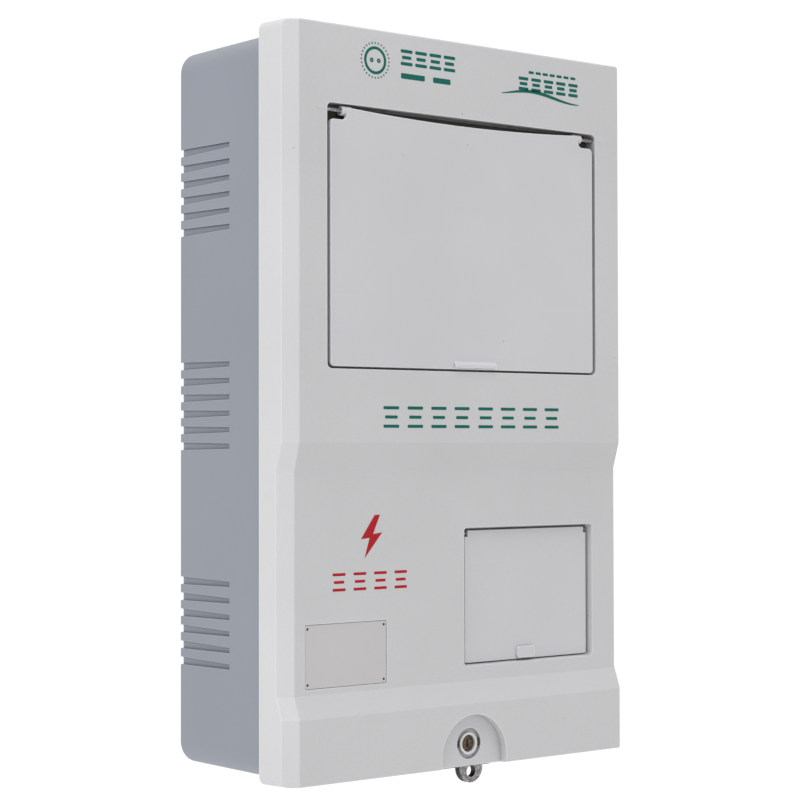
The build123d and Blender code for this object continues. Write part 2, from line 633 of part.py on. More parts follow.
hatch_flap_half = hatch_flap_w / 2
with BuildPart() as breaker_flap:
    with BuildSketch(facing(hatch_flap_y + hatch_flap_t)):
        with Locations((hatch_mid_x, (hatch_flap_low_z + hatch_flap_top_z) / 2)):
            RectangleRounded(hatch_flap_w, hatch_flap_top_z - hatch_flap_low_z, 1.2)
    extrude(amount=hatch_flap_t)
    fillet(breaker_flap.faces().sort_by(Axis.Y)[0].outer_wire().edges(), radius=0.4)
    # Corner notches for the pins, the lugs, and a thumb tab in a U-shaped slot at the foot.
    for way in (-1, 1):
        with BuildSketch(facing(hatch_flap_y + 5)):
            with Locations((hatch_mid_x + way * (hatch_flap_half - 1.0), hatch_axis_z + 0.2)):
                Rectangle(2.4, 4.2)
        extrude(amount=8, mode=Mode.SUBTRACT)
        with BuildSketch(sideways(hatch_mid_x + way * (hatch_flap_half - 4.2))):
            with Locations((hatch_axis_y, hatch_axis_z)):
                Circle(hatch_lug_r)
        extrude(amount=2.0, both=True)
        with BuildSketch(sideways(hatch_mid_x + way * (hatch_flap_half - 3.0))):
            with Locations((hatch_axis_y, hatch_axis_z)):
                Circle(hatch_pin_r)
        extrude(amount=3.2, both=True, mode=Mode.SUBTRACT)
    with BuildSketch(facing(hatch_flap_y + hatch_flap_t + 0.1)):
        with Locations((hatch_tab_x, hatch_flap_low_z + 4.2)):
            SlotOverall(14.0, 5.4)
    extrude(amount=1.3, mode=Mode.SUBTRACT)
    with BuildSketch(facing(hatch_flap_y + 0.5)):
        with Locations((hatch_tab_x, hatch_flap_low_z + 4.0)):
            RectangleRounded(13.0, 6.4, 1.6)
    extrude(amount=1.9)
save(breaker_flap, "breaker_flap")

with BuildPart() as breaker_flap_pins:
    tab_from, tab_to = hatch_flap_half - 6.0, hatch_flap_half + 3.0
    for way in (-1, 1):
        with BuildSketch(sideways(hatch_mid_x + way * (tab_from + tab_to) / 2)):
            with Locations((hatch_axis_y, hatch_axis_z)):
                Circle(hatch_pin_r)
        extrude(amount=(tab_to - tab_from) / 2, both=True)
save(breaker_flap_pins, "breaker_flap_pins")

with BuildPart() as nameplate:
    with BuildSketch(facing(low_y + plate_recess)):
        with Locations((plate_x, plate_z)):
            RectangleRounded(plate_w - 0.6, plate_h - 0.6, 0.8)
            with GridLocations(plate_hole_dx, plate_hole_dz, 2, 2):
                Circle(0.7, mode=Mode.SUBTRACT)
    extrude(amount=0.6)
save(nameplate, "nameplate")

with BuildPart() as nameplate_pins:
    with BuildSketch(facing(low_y + 4.0)):
        with Locations((plate_x, plate_z)):
            with GridLocations(plate_hole_dx, plate_hole_dz, 2, 2):
                Circle(0.7)
    extrude(amount=4.0 - plate_recess + 0.5)
save(nameplate_pins, "nameplate_pins")

with BuildPart() as cover_eye:
    with BuildSketch(facing(eye_front_y + eye_front_t)):
        with Locations((eye_x, eye_z)):
            Circle(eye_r)
        with Locations((eye_x, eye_z + eye_r / 2)):
            Rectangle(2 * eye_r + 1, eye_r, mode=Mode.SUBTRACT)
        with Locations((eye_x, (eye_z + cover_eye_top_z) / 2)):
            Rectangle(2 * eye_r, cover_eye_top_z - eye_z)
        with Locations((lock_x, (cover_eye_bar_z + cover_eye_top_z) / 2)):
            Rectangle(33.4, cover_eye_top_z - cover_eye_bar_z)
        with Locations(*[(x, (cover_eye_bar_z - 180.5) / 2) for x, _ in rivet_spots]):
            Rectangle(5.9, -180.5 - cover_eye_bar_z)
        with Locations(*rivet_spots):
            Circle(rivet_r, mode=Mode.SUBTRACT)
        with Locations((eye_x, eye_hole_z)):
            Circle(eye_hole_r, mode=Mode.SUBTRACT)
    extrude(amount=eye_front_t)
save(cover_eye, "cover_eye")

with BuildPart() as eye_rivets:
    with BuildSketch(facing(eye_front_y + eye_front_t)):
        with Locations(*rivet_spots):
            Circle(rivet_r)
    extrude(amount=eye_front_y + eye_front_t - arch_floor_y - arch_floor_t + rivet_depth)
    with BuildSketch(facing(eye_front_y + eye_front_t + 1.0)):
        with Locations(*rivet_spots):
            Circle(2.2)
    extrude(amount=1.0)
save(eye_rivets, "eye_rivets")

with BuildPart() as lock_sleeve:
    with BuildSketch(facing(boss_back_y + 0.8)):
        with Locations((lock_x, lock_z)):
            Circle(sleeve_r)
            Circle(sleeve_bore_r, mode=Mode.SUBTRACT)
    extrude(amount=boss_back_y + 0.8 - arch_floor_y)
    fillet(lock_sleeve.faces().sort_by(Axis.Y)[0].edges(), radius=0.35)
save(lock_sleeve, "lock_sleeve")

with BuildPart() as lock_ring:
    with BuildSketch(facing(boss_back_y + 0.8)):
        with Locations((lock_x, lock_z)):
            Circle(boss_r - 1.2)
            Circle(sleeve_r, mode=Mode.SUBTRACT)
    extrude(amount=0.8)
save(lock_ring, "lock_ring")

# ---- Lock core: a quarter-turn plug with a cross bar behind the case's catch ----------------------------------------
core_front_y = arch_floor_y + 1.5
core_back_y = boss_back_y + 0.8
with BuildPart() as lock_core:
    with BuildSketch(facing(core_back_y)):
        with Locations((lock_x, lock_z)):
            Circle(core_r)
    extrude(amount=core_back_y - core_front_y)
    chamfer(lock_core.faces().sort_by(Axis.Y)[0].edges(), length=0.4)
    with BuildSketch(facing(core_front_y)):
        with Locations((lock_x, lock_z)):
            Rectangle(key_slit_w, key_slit_h)
    extrude(amount=-key_slit_depth, mode=Mode.SUBTRACT)
    with BuildSketch(facing(lock_bar_back_y)):
        with Locations((lock_x, lock_z)):
            Circle(lock_stem_r)
    extrude(amount=lock_bar_back_y - core_back_y)
save(lock_core, "lock_core")

with BuildPart() as lock_bar:
    with BuildSketch(facing(lock_bar_back_y)):
        with Locations((lock_x, lock_z)):
            SlotOverall(lock_bar_length, lock_bar_h)
            Circle(lock_stem_r, mode=Mode.SUBTRACT)
    extrude(amount=lock_bar_back_y - lock_bar_front_y)
save(lock_bar, "lock_bar")

# ---- Meter: places ---------------------------------------------------------------------------------------------------
board_w, board_low_z, board_top_z = 212.0, -38.0, 168.0
board_face_y = board_y - board_t
meter_w, meter_low_z, meter_top_z = 112.0, -4.0, 156.0
meter_split_y, meter_front_y = -50.0, -80.0          # where base meets cover, and the cover's face
meter_hood_z = 36.0                                  # the cover's lower edge; the terminal cover fills in below
meter_wall, meter_face_t = 2.2, 2.4
meter_lugs = [(0.0, 161.0), (-48.0, -11.0), (48.0, -11.0)]
lens_w, lens_low_z, lens_top_z = 74.0, 99.0, 139.0
lens_mid_z = (lens_low_z + lens_top_z) / 2
lens_h = lens_top_z - lens_low_z
circuit_y, circuit_t = -68.4, 1.6                    # circuit board's rear face and thickness
circuit_posts = [(x, z) for x in (-46.0, 46.0) for z in (56.0, 146.0)]
button_spots = [(44.0, 128.0), (44.0, 110.0)]
button_r, button_hole_r, button_flange_r = 3.4, 3.75, 4.6
led_spots = [(30.0, 84.0), (40.0, 84.0)]
led_r = 1.5
port_x, port_z, port_r = -34.0, 68.0, 10.0
terminal_xs = (-33.0, -11.0, 11.0, 33.0)
terminal_low_z, terminal_top_z = 5.0, 29.0
terminal_w, terminal_back_y, terminal_face_y = 11.0, -51.0, -63.0
block_w, block_low_z, block_top_z, block_face_y = 100.0, -2.0, 34.0, -66.0
wire_r, wire_y = 2.5, -57.0
terminal_cover_spots = [(-45.0, 6.0), (45.0, 6.0)]
meter_cover_spots = [(-48.0, 43.0), (48.0, 43.0)]

# ---- Meter board and its screws --------------------------------------------------------------------------------------
with BuildPart() as meter_board:
    with BuildSketch(facing(board_y)):
        with Locations((0, (board_low_z + board_top_z) / 2)):
            RectangleRounded(board_w, board_top_z - board_low_z, 6)
        with Locations(*board_posts):
            Circle(2.0, mode=Mode.SUBTRACT)
        with Locations(*meter_lugs):
            Circle(1.6, mode=Mode.SUBTRACT)
    extrude(amount=board_t)
save(meter_board, "meter_board")


def cross_screws(spots, face_y, head_r, head_h, shank_r, shank_to_y):
    """A set of cross-head screws seen from the front: heads stand on face_y, shanks run back to shank_to_y."""
    with BuildPart() as screws:
        with BuildSketch(facing(shank_to_y)):
            with Locations(*spots):
                Circle(shank_r)
        extrude(amount=shank_to_y - face_y)
        with BuildSketch(facing(face_y)):
            with Locations(*spots):
                Circle(head_r)
        extrude(amount=head_h)
        with BuildSketch(facing(face_y - head_h + 1.0)):
            with Locations(*spots):
                Rectangle(head_r * 1.3, head_r * 0.28)
                Rectangle(head_r * 0.28, head_r * 1.3)
        extrude(amount=2.0, mode=Mode.SUBTRACT)
    return screws


save(cross_screws(board_posts, board_face_y, 3.6, 2.2, 1.6, -10.0), "board_screws")
save(cross_screws(meter_lugs, board_face_y - 3.0, 3.6, 2.2, 1.6, board_y), "meter_screws")

# ---- Meter base ------------------------------------------------------------------------------------------------------
meter_mid_z = (meter_low_z + meter_top_z) / 2
with BuildPart() as meter_base:
    with BuildSketch(facing(board_face_y)):
        with Locations((0, meter_mid_z)):
            RectangleRounded(meter_w, meter_top_z - meter_low_z, 4)
    extrude(amount=board_face_y - meter_split_y)
    with BuildSketch(facing(board_face_y - 3.0)):
        with Locations((0, meter_mid_z)):
            RectangleRounded(meter_w - 2 * meter_wall, meter_top_z - meter_low_z - 2 * meter_wall, 2.5)
    extrude(amount=40, mode=Mode.SUBTRACT)
    # Three fixing lugs, the posts for the circuit board, and a gap in the lower wall for the wires.
    with BuildSketch(facing(board_face_y)):
        for lug_x, lug_z in meter_lugs:
            with Locations((lug_x, lug_z + (-3 if lug_z > 0 else 4))):
                RectangleRounded(13.0, 15.0, 3.0)
    extrude(amount=3.0)
    with BuildSketch(facing(board_face_y + 1)):
        with Locations(*meter_lugs):
            Circle(1.9)
    extrude(amount=5.0, mode=Mode.SUBTRACT)
    with BuildSketch(facing(board_face_y - 2.0)):
        with Locations(*circuit_posts):
            Circle(3.0)
    extrude(amount=board_face_y - 2.0 - circuit_y)
    with BuildSketch(facing(circuit_y + 9)):
        with Locations(*circuit_posts):
            Circle(1.1)
    extrude(amount=12, mode=Mode.SUBTRACT)
    with BuildSketch(facing(board_face_y - 2.0)):
        with Locations(*meter_cover_spots):
            Circle(3.6)
    extrude(amount=board_face_y - 2.0 - meter_split_y)
    with BuildSketch(facing(meter_split_y + 8)):
        with Locations(*meter_cover_spots):
            Circle(1.6)
    extrude(amount=12, mode=Mode.SUBTRACT)
save(meter_base, "meter_base")

# ---- Meter terminals -------------------------------------------------------------------------------------------------
terminal_mid_z = (terminal_low_z + terminal_top_z) / 2
terminal_screw_zs = (11.0, 23.0)
terminal_screw_spots = [(x, z) for x in terminal_xs for z in terminal_screw_zs]
with BuildPart() as meter_terminal_block:
    with BuildSketch(facing(board_face_y - 3.0)):
        with Locations((0, (block_low_z + 0.5 + block_top_z) / 2)):
            RectangleRounded(block_w, block_top_z - block_low_z - 0.5, 1.5)
    extrude(amount=board_face_y - 3.0 - block_face_y)
    with BuildSketch(facing(terminal_back_y)):
        with Locations(*[(x, terminal_mid_z) for x in terminal_xs]):
            Rectangle(terminal_w, terminal_top_z - terminal_low_z)
    extrude(amount=30, mode=Mode.SUBTRACT)
    with BuildSketch(level(block_low_z - 1)):
        with Locations(*[(x, wire_y) for x in terminal_xs]):
            Circle(wire_r + 0.6)
    extrude(amount=terminal_low_z - block_low_z + 1, mode=Mode.SUBTRACT)
    with BuildSketch(facing(block_face_y + 9)):
        with Locations(*terminal_cover_spots):
            Circle(1.6)
    extrude(amount=12, mode=Mode.SUBTRACT)
save(meter_terminal_block, "meter_terminal_block")

with BuildPart() as meter_terminals:
    with BuildSketch(facing(terminal_back_y)):
        with Locations(*[(x, terminal_mid_z) for x in terminal_xs]):
            Rectangle(terminal_w, terminal_top_z - terminal_low_z)
    extrude(amount=terminal_back_y - terminal_face_y)
    with BuildSketch(level(terminal_low_z - 1)):
        with Locations(*[(x, wire_y) for x in terminal_xs]):
            Circle(wire_r + 0.1)
    extrude(amount=24, mode=Mode.SUBTRACT)
    with BuildSketch(facing(wire_y)):
        with Locations(*terminal_screw_spots):
            Circle(2.0)
    extrude(amount=10, mode=Mode.SUBTRACT)
save(meter_terminals, "meter_terminals")
save(cross_screws(terminal_screw_spots, terminal_face_y, 2.9, 1.8, 2.0, wire_y - wire_r - 0.2),
     "meter_terminal_screws")

with BuildPart() as meter_terminal_cover:
    cover_low_z, cover_top_z = meter_low_z - 14.0, meter_hood_z - 0.4
    with BuildSketch(facing(meter_split_y - 0.2)):
        with Locations((0, (cover_low_z + cover_top_z) / 2)):
            Rectangle(meter_w, cover_top_z - cover_low_z)
    extrude(amount=meter_split_y - 0.2 - meter_front_y - 2.0)
    with BuildSketch(facing(meter_split_y)):
        with Locations((0, (cover_low_z + cover_top_z) / 2 - 1.2)):
            Rectangle(meter_w - 4.0, cover_top_z - cover_low_z)
    extrude(amount=meter_split_y - meter_front_y - 4.2, mode=Mode.SUBTRACT)
    fillet(meter_terminal_cover.faces().sort_by(Axis.Y)[0].edges(), radius=1.0)
    with BuildSketch(facing(meter_front_y + 4.0)):
        with Locations(*terminal_cover_spots):
            Circle(4.0)
    extrude(amount=meter_front_y + 4.0 - block_face_y)
    with BuildSketch(facing(block_face_y + 1)):
        with Locations(*terminal_cover_spots):
            Circle(1.7)
    extrude(amount=20, mode=Mode.SUBTRACT)
save(meter_terminal_cover, "meter_terminal_cover")
save(cross_screws(terminal_cover_spots, meter_front_y + 2.0, 3.2, 1.8, 1.6, block_face_y + 8.0),
     "terminal_cover_screws")

# ---- Meter cover and what shows through it ---------------------------------------------------------------------------
meter_cover_mid_z = (meter_hood_z + meter_top_z) / 2
meter_cover_h = meter_top_z - meter_hood_z
with BuildPart() as meter_cover:
    with BuildSketch(facing(meter_split_y)):
        with Locations((0, meter_cover_mid_z)):
            RectangleRounded(meter_w, meter_cover_h, 4)
    extrude(amount=meter_split_y - meter_front_y)
    fillet(meter_cover.faces().sort_by(Axis.Y)[0].edges(), radius=1.5)
    with BuildSketch(facing(meter_split_y)):
        with Locations((0, meter_cover_mid_z)):
            RectangleRounded(meter_w - 2 * meter_wall, meter_cover_h - 2 * meter_wall, 2.5)
    extrude(amount=meter_split_y - meter_front_y - meter_face_t, mode=Mode.SUBTRACT)
    with BuildSketch(facing(meter_split_y)):
        with Locations(*meter_cover_spots):
            Circle(3.6)
    extrude(amount=meter_split_y - meter_front_y - meter_face_t + 0.5)
    with BuildSketch(facing(meter_split_y + 1)):
        with Locations(*meter_cover_spots):
            Circle(1.9)
        with Locations(*button_spots):
            Circle(button_hole_r)
        with Locations(*led_spots):
            Circle(led_r + 0.2)
        with Locations((0, lens_mid_z)):
            RectangleRounded(lens_w, lens_h, 2.0)
    extrude(amount=40, mode=Mode.SUBTRACT)
save(meter_cover, "meter_cover")
save(cross_screws(meter_cover_spots, meter_front_y, 3.2, 2.0, 1.6, meter_split_y + 7.0), "meter_cover_screws")

with BuildPart() as meter_lens:
    with BuildSketch(facing(meter_front_y + meter_face_t)):
        with Locations((0, lens_mid_z)):
            RectangleRounded(lens_w, lens_h, 2.0)
    extrude(amount=meter_face_t)
save(meter_lens, "meter_lens")

circuit_face_y = circuit_y - circuit_t
lcd_back_y, lcd_t = -73.6, 2.8
with BuildPart() as lcd_frame:
    with BuildSketch(facing(circuit_face_y)):
        with Locations((0, lens_mid_z)):
            RectangleRounded(lens_w - 3.0, lens_h - 2.0, 1.0)
    extrude(amount=circuit_face_y - meter_front_y - meter_face_t - 0.6)
    with BuildSketch(facing(lcd_back_y)):
        with Locations((0, lens_mid_z)):
            Rectangle(lens_w - 8.0, lens_h - 7.0)
    extrude(amount=10, mode=Mode.SUBTRACT)
save(lcd_frame, "lcd_frame")

with BuildPart() as meter_lcd:
    with BuildSketch(facing(lcd_back_y)):
        with Locations((0, lens_mid_z)):
            Rectangle(lens_w - 8.0, lens_h - 7.0)
    extrude(amount=lcd_t)
save(meter_lcd, "meter_lcd")

with BuildPart() as circuit_board:
    with BuildSketch(facing(circuit_y)):
        with Locations((0, 100.5)):
            RectangleRounded(102.0, 101.0, 1.5)
        with Locations(*circuit_posts):
            Circle(1.4, mode=Mode.SUBTRACT)
    extrude(amount=circuit_t)
save(circuit_board, "circuit_board")
save(cross_screws(circuit_posts, circuit_face_y, 2.4, 1.5, 1.1, circuit_y + 8.0), "circuit_screws")

with BuildPart() as meter_leds:
    with BuildSketch(facing(circuit_face_y)):
        with Locations(*led_spots):
            Circle(led_r)
    extrude(amount=circuit_face_y - meter_front_y + 0.3)
    fillet(meter_leds.faces().filter_by(Axis.Y).sort_by(Axis.Y)[:2].edges(), radius=0.6)
save(meter_leds, "meter_leds")

with BuildPart() as button_switches:
    with BuildSketch(facing(circuit_face_y)):
        with Locations(*button_spots):
            Rectangle(6.0, 6.0)
    extrude(amount=2.2)
save(button_switches, "button_switches")

for button_name, (button_x, button_z) in zip(("meter_button_upper", "meter_button_lower"), button_spots):
    with BuildPart() as meter_button:
        with BuildSketch(facing(circuit_face_y - 3.6)):
            with Locations((button_x, button_z)):
                Circle(button_r)
        extrude(amount=circuit_face_y - 3.6 - meter_front_y + 1.6)
        fillet(meter_button.faces().sort_by(Axis.Y)[0].edges(), radius=0.6)
        with BuildSketch(facing(meter_front_y + meter_face_t + 1.4)):
            with Locations((button_x, button_z)):
                Circle(button_flange_r)
        extrude(amount=1.1)
    save(meter_button, button_name)

with BuildPart() as optical_port:
    with BuildSketch(facing(meter_front_y)):
        with Locations((port_x, port_z)):
            Circle(port_r)
    extrude(amount=1.8)
    with BuildSketch(facing(meter_front_y - 1.2)):
        with Locations((port_x, port_z)):
            Circle(port_r - 2.5)
    extrude(amount=2, mode=Mode.SUBTRACT)
    with BuildSketch(facing(meter_front_y - 0.4)):
        with Locations((port_x - 3.2, port_z), (port_x + 3.2, port_z)):
            Circle(1.4)
    extrude(amount=2, mode=Mode.SUBTRACT)
save(optical_port, "optical_port")

with BuildPart() as meter_relay:
    with BuildSketch(facing(-42.0)):
        with Locations((-22.0, 63.0)):
            RectangleRounded(36.0, 34.0, 1.5)
    extrude(amount=-42.0 - circuit_y)
save(meter_relay, "meter_relay")

with BuildPart() as meter_battery:
    with BuildSketch(level(58.0)):
        with Locations((26.0, circuit_y + 7.2)):
            Circle(7.2)
    extrude(amount=25.0)
    with BuildSketch(level(83.0)):
        with Locations((26.0, circuit_y + 7.2)):
            Circle(2.6)
    extrude(amount=1.2)
save(meter_battery, "meter_battery")

# ---- DIN rail and two-pole breaker -----------------------------------------------------------------------------------
rail_low_x, rail_high_x, rail_t = -8.0, 106.0, 1.0
rail_half, rail_web_half = 17.5, 12.5
with BuildPart() as din_rail:
    with BuildSketch(sideways(rail_low_x)):
        with Locations((rail_y - rail_t / 2, rail_z)):
            Rectangle(rail_t, 2 * (rail_web_half + rail_t))
        for way in (-1, 1):
            with Locations((rail_y - rail_depth / 2, rail_z + way * (rail_web_half + rail_t / 2))):
                Rectangle(rail_depth, rail_t)
            with Locations((rail_y - rail_depth + rail_t / 2, rail_z + way * (rail_half + rail_web_half) / 2)):
                Rectangle(rail_t, rail_half - rail_web_half)
    extrude(amount=rail_high_x - rail_low_x)
    with BuildSketch(facing(rail_y + 1)):
        with Locations(*rail_posts):
            Circle(2.2)
    extrude(amount=4, mode=Mode.SUBTRACT)
save(din_rail, "din_rail")
save(cross_screws(rail_posts, rail_y - rail_t, 4.0, 2.4, 1.9, -12.0), "rail_screws")

breaker_x, breaker_w, breaker_h = 49.0, 36.0, 82.0
breaker_back_y, breaker_shoulder_y, breaker_nose_y = -27.0, -76.0, -92.0
breaker_nose_h = 45.0
toggle_y, toggle_r, toggle_tip_r, toggle_w = -88.0, 5.0, 8.0, 26.0
toggle_tilt = 35.0                      # degrees above straight out, at rest
breaker_low_z = rail_z - breaker_h / 2
breaker_top_z = rail_z + breaker_h / 2
pole_xs = (breaker_x - 9.0, breaker_x + 9.0)
breaker_terminal_spots = [(x, z) for x in pole_xs for z in (breaker_low_z + 6.0, breaker_top_z - 6.0)]
clip_w = 16.0

with BuildPart() as breaker_body:
    with BuildSketch(facing(breaker_back_y)):
        with Locations((breaker_x, rail_z)):
            Rectangle(breaker_w, breaker_h)
    extrude(amount=breaker_back_y - breaker_shoulder_y)
    with BuildSketch(facing(breaker_shoulder_y + 1)):
        with Locations((breaker_x, rail_z)):
            Rectangle(breaker_w, breaker_nose_h)
    extrude(amount=breaker_shoulder_y + 1 - breaker_nose_y)
    chamfer(breaker_body.edges().filter_by(Axis.X).sort_by(Axis.Y)[:2], length=2.0)
    # Rail channel with the fixed hook above, and the slot the clip slides in below.
    with BuildSketch(facing(breaker_back_y + 1)):
        with Locations((breaker_x, rail_z)):
            Rectangle(breaker_w, 2 * (rail_half - 2.0))
    extrude(amount=1 + breaker_back_y - (rail_y - rail_depth - 0.1), mode=Mode.SUBTRACT)
    with BuildSketch(facing(rail_y - rail_depth + rail_t + 0.2)):
        with Locations((breaker_x, rail_z)):
            Rectangle(breaker_w, 2 * (rail_half + 0.2))
    extrude(amount=rail_t + 0.3, mode=Mode.SUBTRACT)
    with BuildSketch(facing(breaker_back_y + 1)):
        with Locations((breaker_x, (breaker_low_z - 1 + rail_z - rail_half + 2.0) / 2)):
            Rectangle(clip_w + 0.4, rail_z - rail_half + 2.0 - breaker_low_z + 1)
    extrude(amount=1 + breaker_back_y - (rail_y - rail_depth - 0.1), mode=Mode.SUBTRACT)
    # Terminals: wire ways from above and below, screw ways from the shoulders.
    with BuildSketch(level(breaker_low_z - 1)):
        with Locations(*[(x, wire_y) for x in pole_xs]):
            Circle(wire_r + 0.2)
    extrude(amount=13.5, mode=Mode.SUBTRACT)
    with BuildSketch(level(breaker_top_z - 12.5)):
        with Locations(*[(x, wire_y) for x in pole_xs]):
            Circle(wire_r + 0.2)
    extrude(amount=13.5, mode=Mode.SUBTRACT)
    with BuildSketch(facing(-62.0)):
        with Locations(*breaker_terminal_spots):
            Circle(3.1)
    extrude(amount=20, mode=Mode.SUBTRACT)
    with BuildSketch(facing(wire_y)):
        with Locations(*breaker_terminal_spots):
            Circle(2.0)
    extrude(amount=6, mode=Mode.SUBTRACT)
    # The toggle's seat: a round pocket with room above and below for the lever, and the groove between the poles.
    with BuildSketch(sideways(breaker_x)):
        with Locations((toggle_y, rail_z)):
            Circle(toggle_r + 0.4)
        with Locations((breaker_nose_y, rail_z)):
            Rectangle(4.6, 13.0)
    extrude(amount=toggle_w / 2 + 0.4, both=True, mode=Mode.SUBTRACT)
    with BuildSketch(sideways(breaker_x)):
        with Locations((breaker_shoulder_y, breaker_low_z), (breaker_shoulder_y, breaker_top_z)):
            Rectangle(1.0, breaker_h - breaker_nose_h - 4)
    extrude(amount=0.4, both=True, mode=Mode.SUBTRACT)
save(breaker_body, "breaker_body")

save(cross_screws(breaker_terminal_spots, -62.0, 2.8, 9.0, 2.0, wire_y - wire_r - 0.1), "breaker_terminal_screws")

with BuildPart() as breaker_clip:
    with BuildSketch(facing(breaker_back_y)):
        with Locations((breaker_x, (breaker_low_z - 4.0 + rail_z - rail_half + 2.0) / 2)):
            Rectangle(clip_w, rail_z - rail_half + 2.0 - breaker_low_z + 4.0)
    extrude(amount=breaker_back_y - (rail_y - rail_depth + rail_t + 0.2))
    with BuildSketch(facing(0)):
        with Locations((breaker_x, breaker_low_z - 1.6)):
            Rectangle(8.0, 2.0)
    extrude(amount=60, mode=Mode.SUBTRACT)
save(breaker_clip, "breaker_clip")

with BuildPart() as breaker_toggle:
    with BuildSketch(sideways(breaker_x)):
        with Locations((toggle_y, rail_z)):
            Circle(toggle_r)
        with Locations((toggle_y, rail_z)):
            with Locations(Location((0, 0, 0), (0, 0, -toggle_tilt))):
                with Locations((-toggle_tip_r / 2, 0)):
                    Rectangle(toggle_tip_r, 3.0)
    extrude(amount=toggle_w / 2, both=True)
save(breaker_toggle, "breaker_toggle")

# ---- Earth bar and the two wires from the meter to the breaker -------------------------------------------------------
earth_spots = [(x, -110.0) for x in (-81.0, -73.0, -65.0, -57.0, -49.0)]
with BuildPart() as earth_bar:
    with BuildSketch(facing(bar_y)):
        with Locations((-65.0, -110.0)):
            Rectangle(64.0, 9.0)
        with Locations(*bar_posts):
            Circle(1.7, mode=Mode.SUBTRACT)
    extrude(amount=9.0)
    with BuildSketch(level(-116.0)):
        with Locations(*[(x, bar_y - 4.0) for x, _ in earth_spots]):
            Circle(2.2)
    extrude(amount=12.0, mode=Mode.SUBTRACT)
    with BuildSketch(facing(bar_y - 4.0)):
        with Locations(*earth_spots):
            Circle(1.9)
    extrude(amount=8.0, mode=Mode.SUBTRACT)
save(earth_bar, "earth_bar")
save(cross_screws(bar_posts, bar_y - 9.0, 3.2, 2.0, 1.6, -11.0), "earth_bar_screws")
save(cross_screws(earth_spots, bar_y - 9.0, 2.6, 1.8, 1.9, bar_y - 6.4), "earth_terminal_screws")


def link_wire(start_x, turn_z, end_x, drop):
    """A stiff insulated wire from a meter terminal down to the breaker pole at end_x, with two wide bends."""
    with BuildPart() as wire:
        with BuildLine() as route:
            FilletPolyline(
                (start_x, wire_y, terminal_low_z + 18), (start_x, wire_y, turn_z),
                (end_x, wire_y, turn_z - drop), (end_x, wire_y, breaker_top_z - 11.0), radius=12.0,
            )
        with BuildSketch(Plane(origin=route.line @ 0, z_dir=route.line % 0)):
            Circle(wire_r)
        sweep()
    return wire


save(link_wire(terminal_xs[1], -36.0, pole_xs[0], 14.0), "link_wire_live")
save(link_wire(terminal_xs[3], -24.0, pole_xs[1], 12.0), "link_wire_neutral")
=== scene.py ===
# %% [markdown]
# # A wall-hung electricity meter box
# The box is a grey moulded case with a paler front cover. The cover carries a wide flap over a clear
# window, a small flap over the breaker, a lock and two padlock plates. The CAD model already holds every
# shape and joint, so this lesson gives the shapes their plastics, metals and inks, adds the thin things
# that CAD leaves out, and lights them.

import math

import bmesh
import bpy
from mathutils import Matrix, Vector
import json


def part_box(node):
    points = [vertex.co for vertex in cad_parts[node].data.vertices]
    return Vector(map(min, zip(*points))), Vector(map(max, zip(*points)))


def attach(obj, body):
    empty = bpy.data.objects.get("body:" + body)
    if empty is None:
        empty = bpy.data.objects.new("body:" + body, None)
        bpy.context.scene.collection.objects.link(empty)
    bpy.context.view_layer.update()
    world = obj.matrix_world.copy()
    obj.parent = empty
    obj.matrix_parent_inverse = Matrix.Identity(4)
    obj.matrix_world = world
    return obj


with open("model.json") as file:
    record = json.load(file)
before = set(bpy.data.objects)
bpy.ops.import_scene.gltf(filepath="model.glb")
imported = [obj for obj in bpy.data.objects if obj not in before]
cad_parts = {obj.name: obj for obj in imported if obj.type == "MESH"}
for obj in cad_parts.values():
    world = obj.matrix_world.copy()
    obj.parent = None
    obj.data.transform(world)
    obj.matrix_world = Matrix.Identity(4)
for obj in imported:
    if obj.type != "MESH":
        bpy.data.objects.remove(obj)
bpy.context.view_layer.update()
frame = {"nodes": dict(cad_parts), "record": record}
MM = 0.001

# %% [markdown]
# ## Camera
# A long lens from the left and a little below the middle keeps the upright edges parallel. The camera could
# track an empty, but three angles state the direction exactly: yaw about the vertical, a slight pitch, and
# almost no roll.

# %% Camera
CAMERA_PLACE = Vector((-0.7585, -0.9930, -0.0233))
CAMERA_YAW, CAMERA_PITCH, CAMERA_ROLL = (math.radians(a) for a in (38.67, 1.25, -0.11))
LENS_MM, SENSOR_MM = 94.97, 36


def aimed_matrix(place, yaw, pitch, roll):
    """A camera's matrix: yaw turns right from +Y, pitch looks up, roll tilts the frame."""
    forward = Vector((math.sin(yaw) * math.cos(pitch), math.cos(yaw) * math.cos(pitch), math.sin(pitch)))
    right = Vector((math.cos(yaw), -math.sin(yaw), 0))
    up = right.cross(forward)
    right, up = right * math.cos(roll) + up * math.sin(roll), up * math.cos(roll) - right * math.sin(roll)
    turn = Matrix((right, up, -forward)).transposed()
    return Matrix.Translation(place) @ turn.to_4x4()


camera_data = bpy.data.cameras.new("catalogue_lens")
camera_data.sensor_width = SENSOR_MM
camera_data.lens = LENS_MM
camera = bpy.data.objects.new("catalogue_camera", camera_data)
bpy.context.scene.collection.objects.link(camera)
camera.matrix_world = aimed_matrix(CAMERA_PLACE, CAMERA_YAW, CAMERA_PITCH, CAMERA_ROLL)
bpy.context.scene.camera = camera
print("camera at", [round(v, 3) for v in camera.location])

# %% [markdown]
# ## Studio
# The box hangs in a white studio. A big pale floor well below it bounces light up, the world is white, and
# three wide lamps do the rest: one to the left makes the cover's side the brightest face, a weak one gives
# the front its gloss, and one overhead catches the top edges. Small lamps would give hard shadows, so all
# of them are wide.

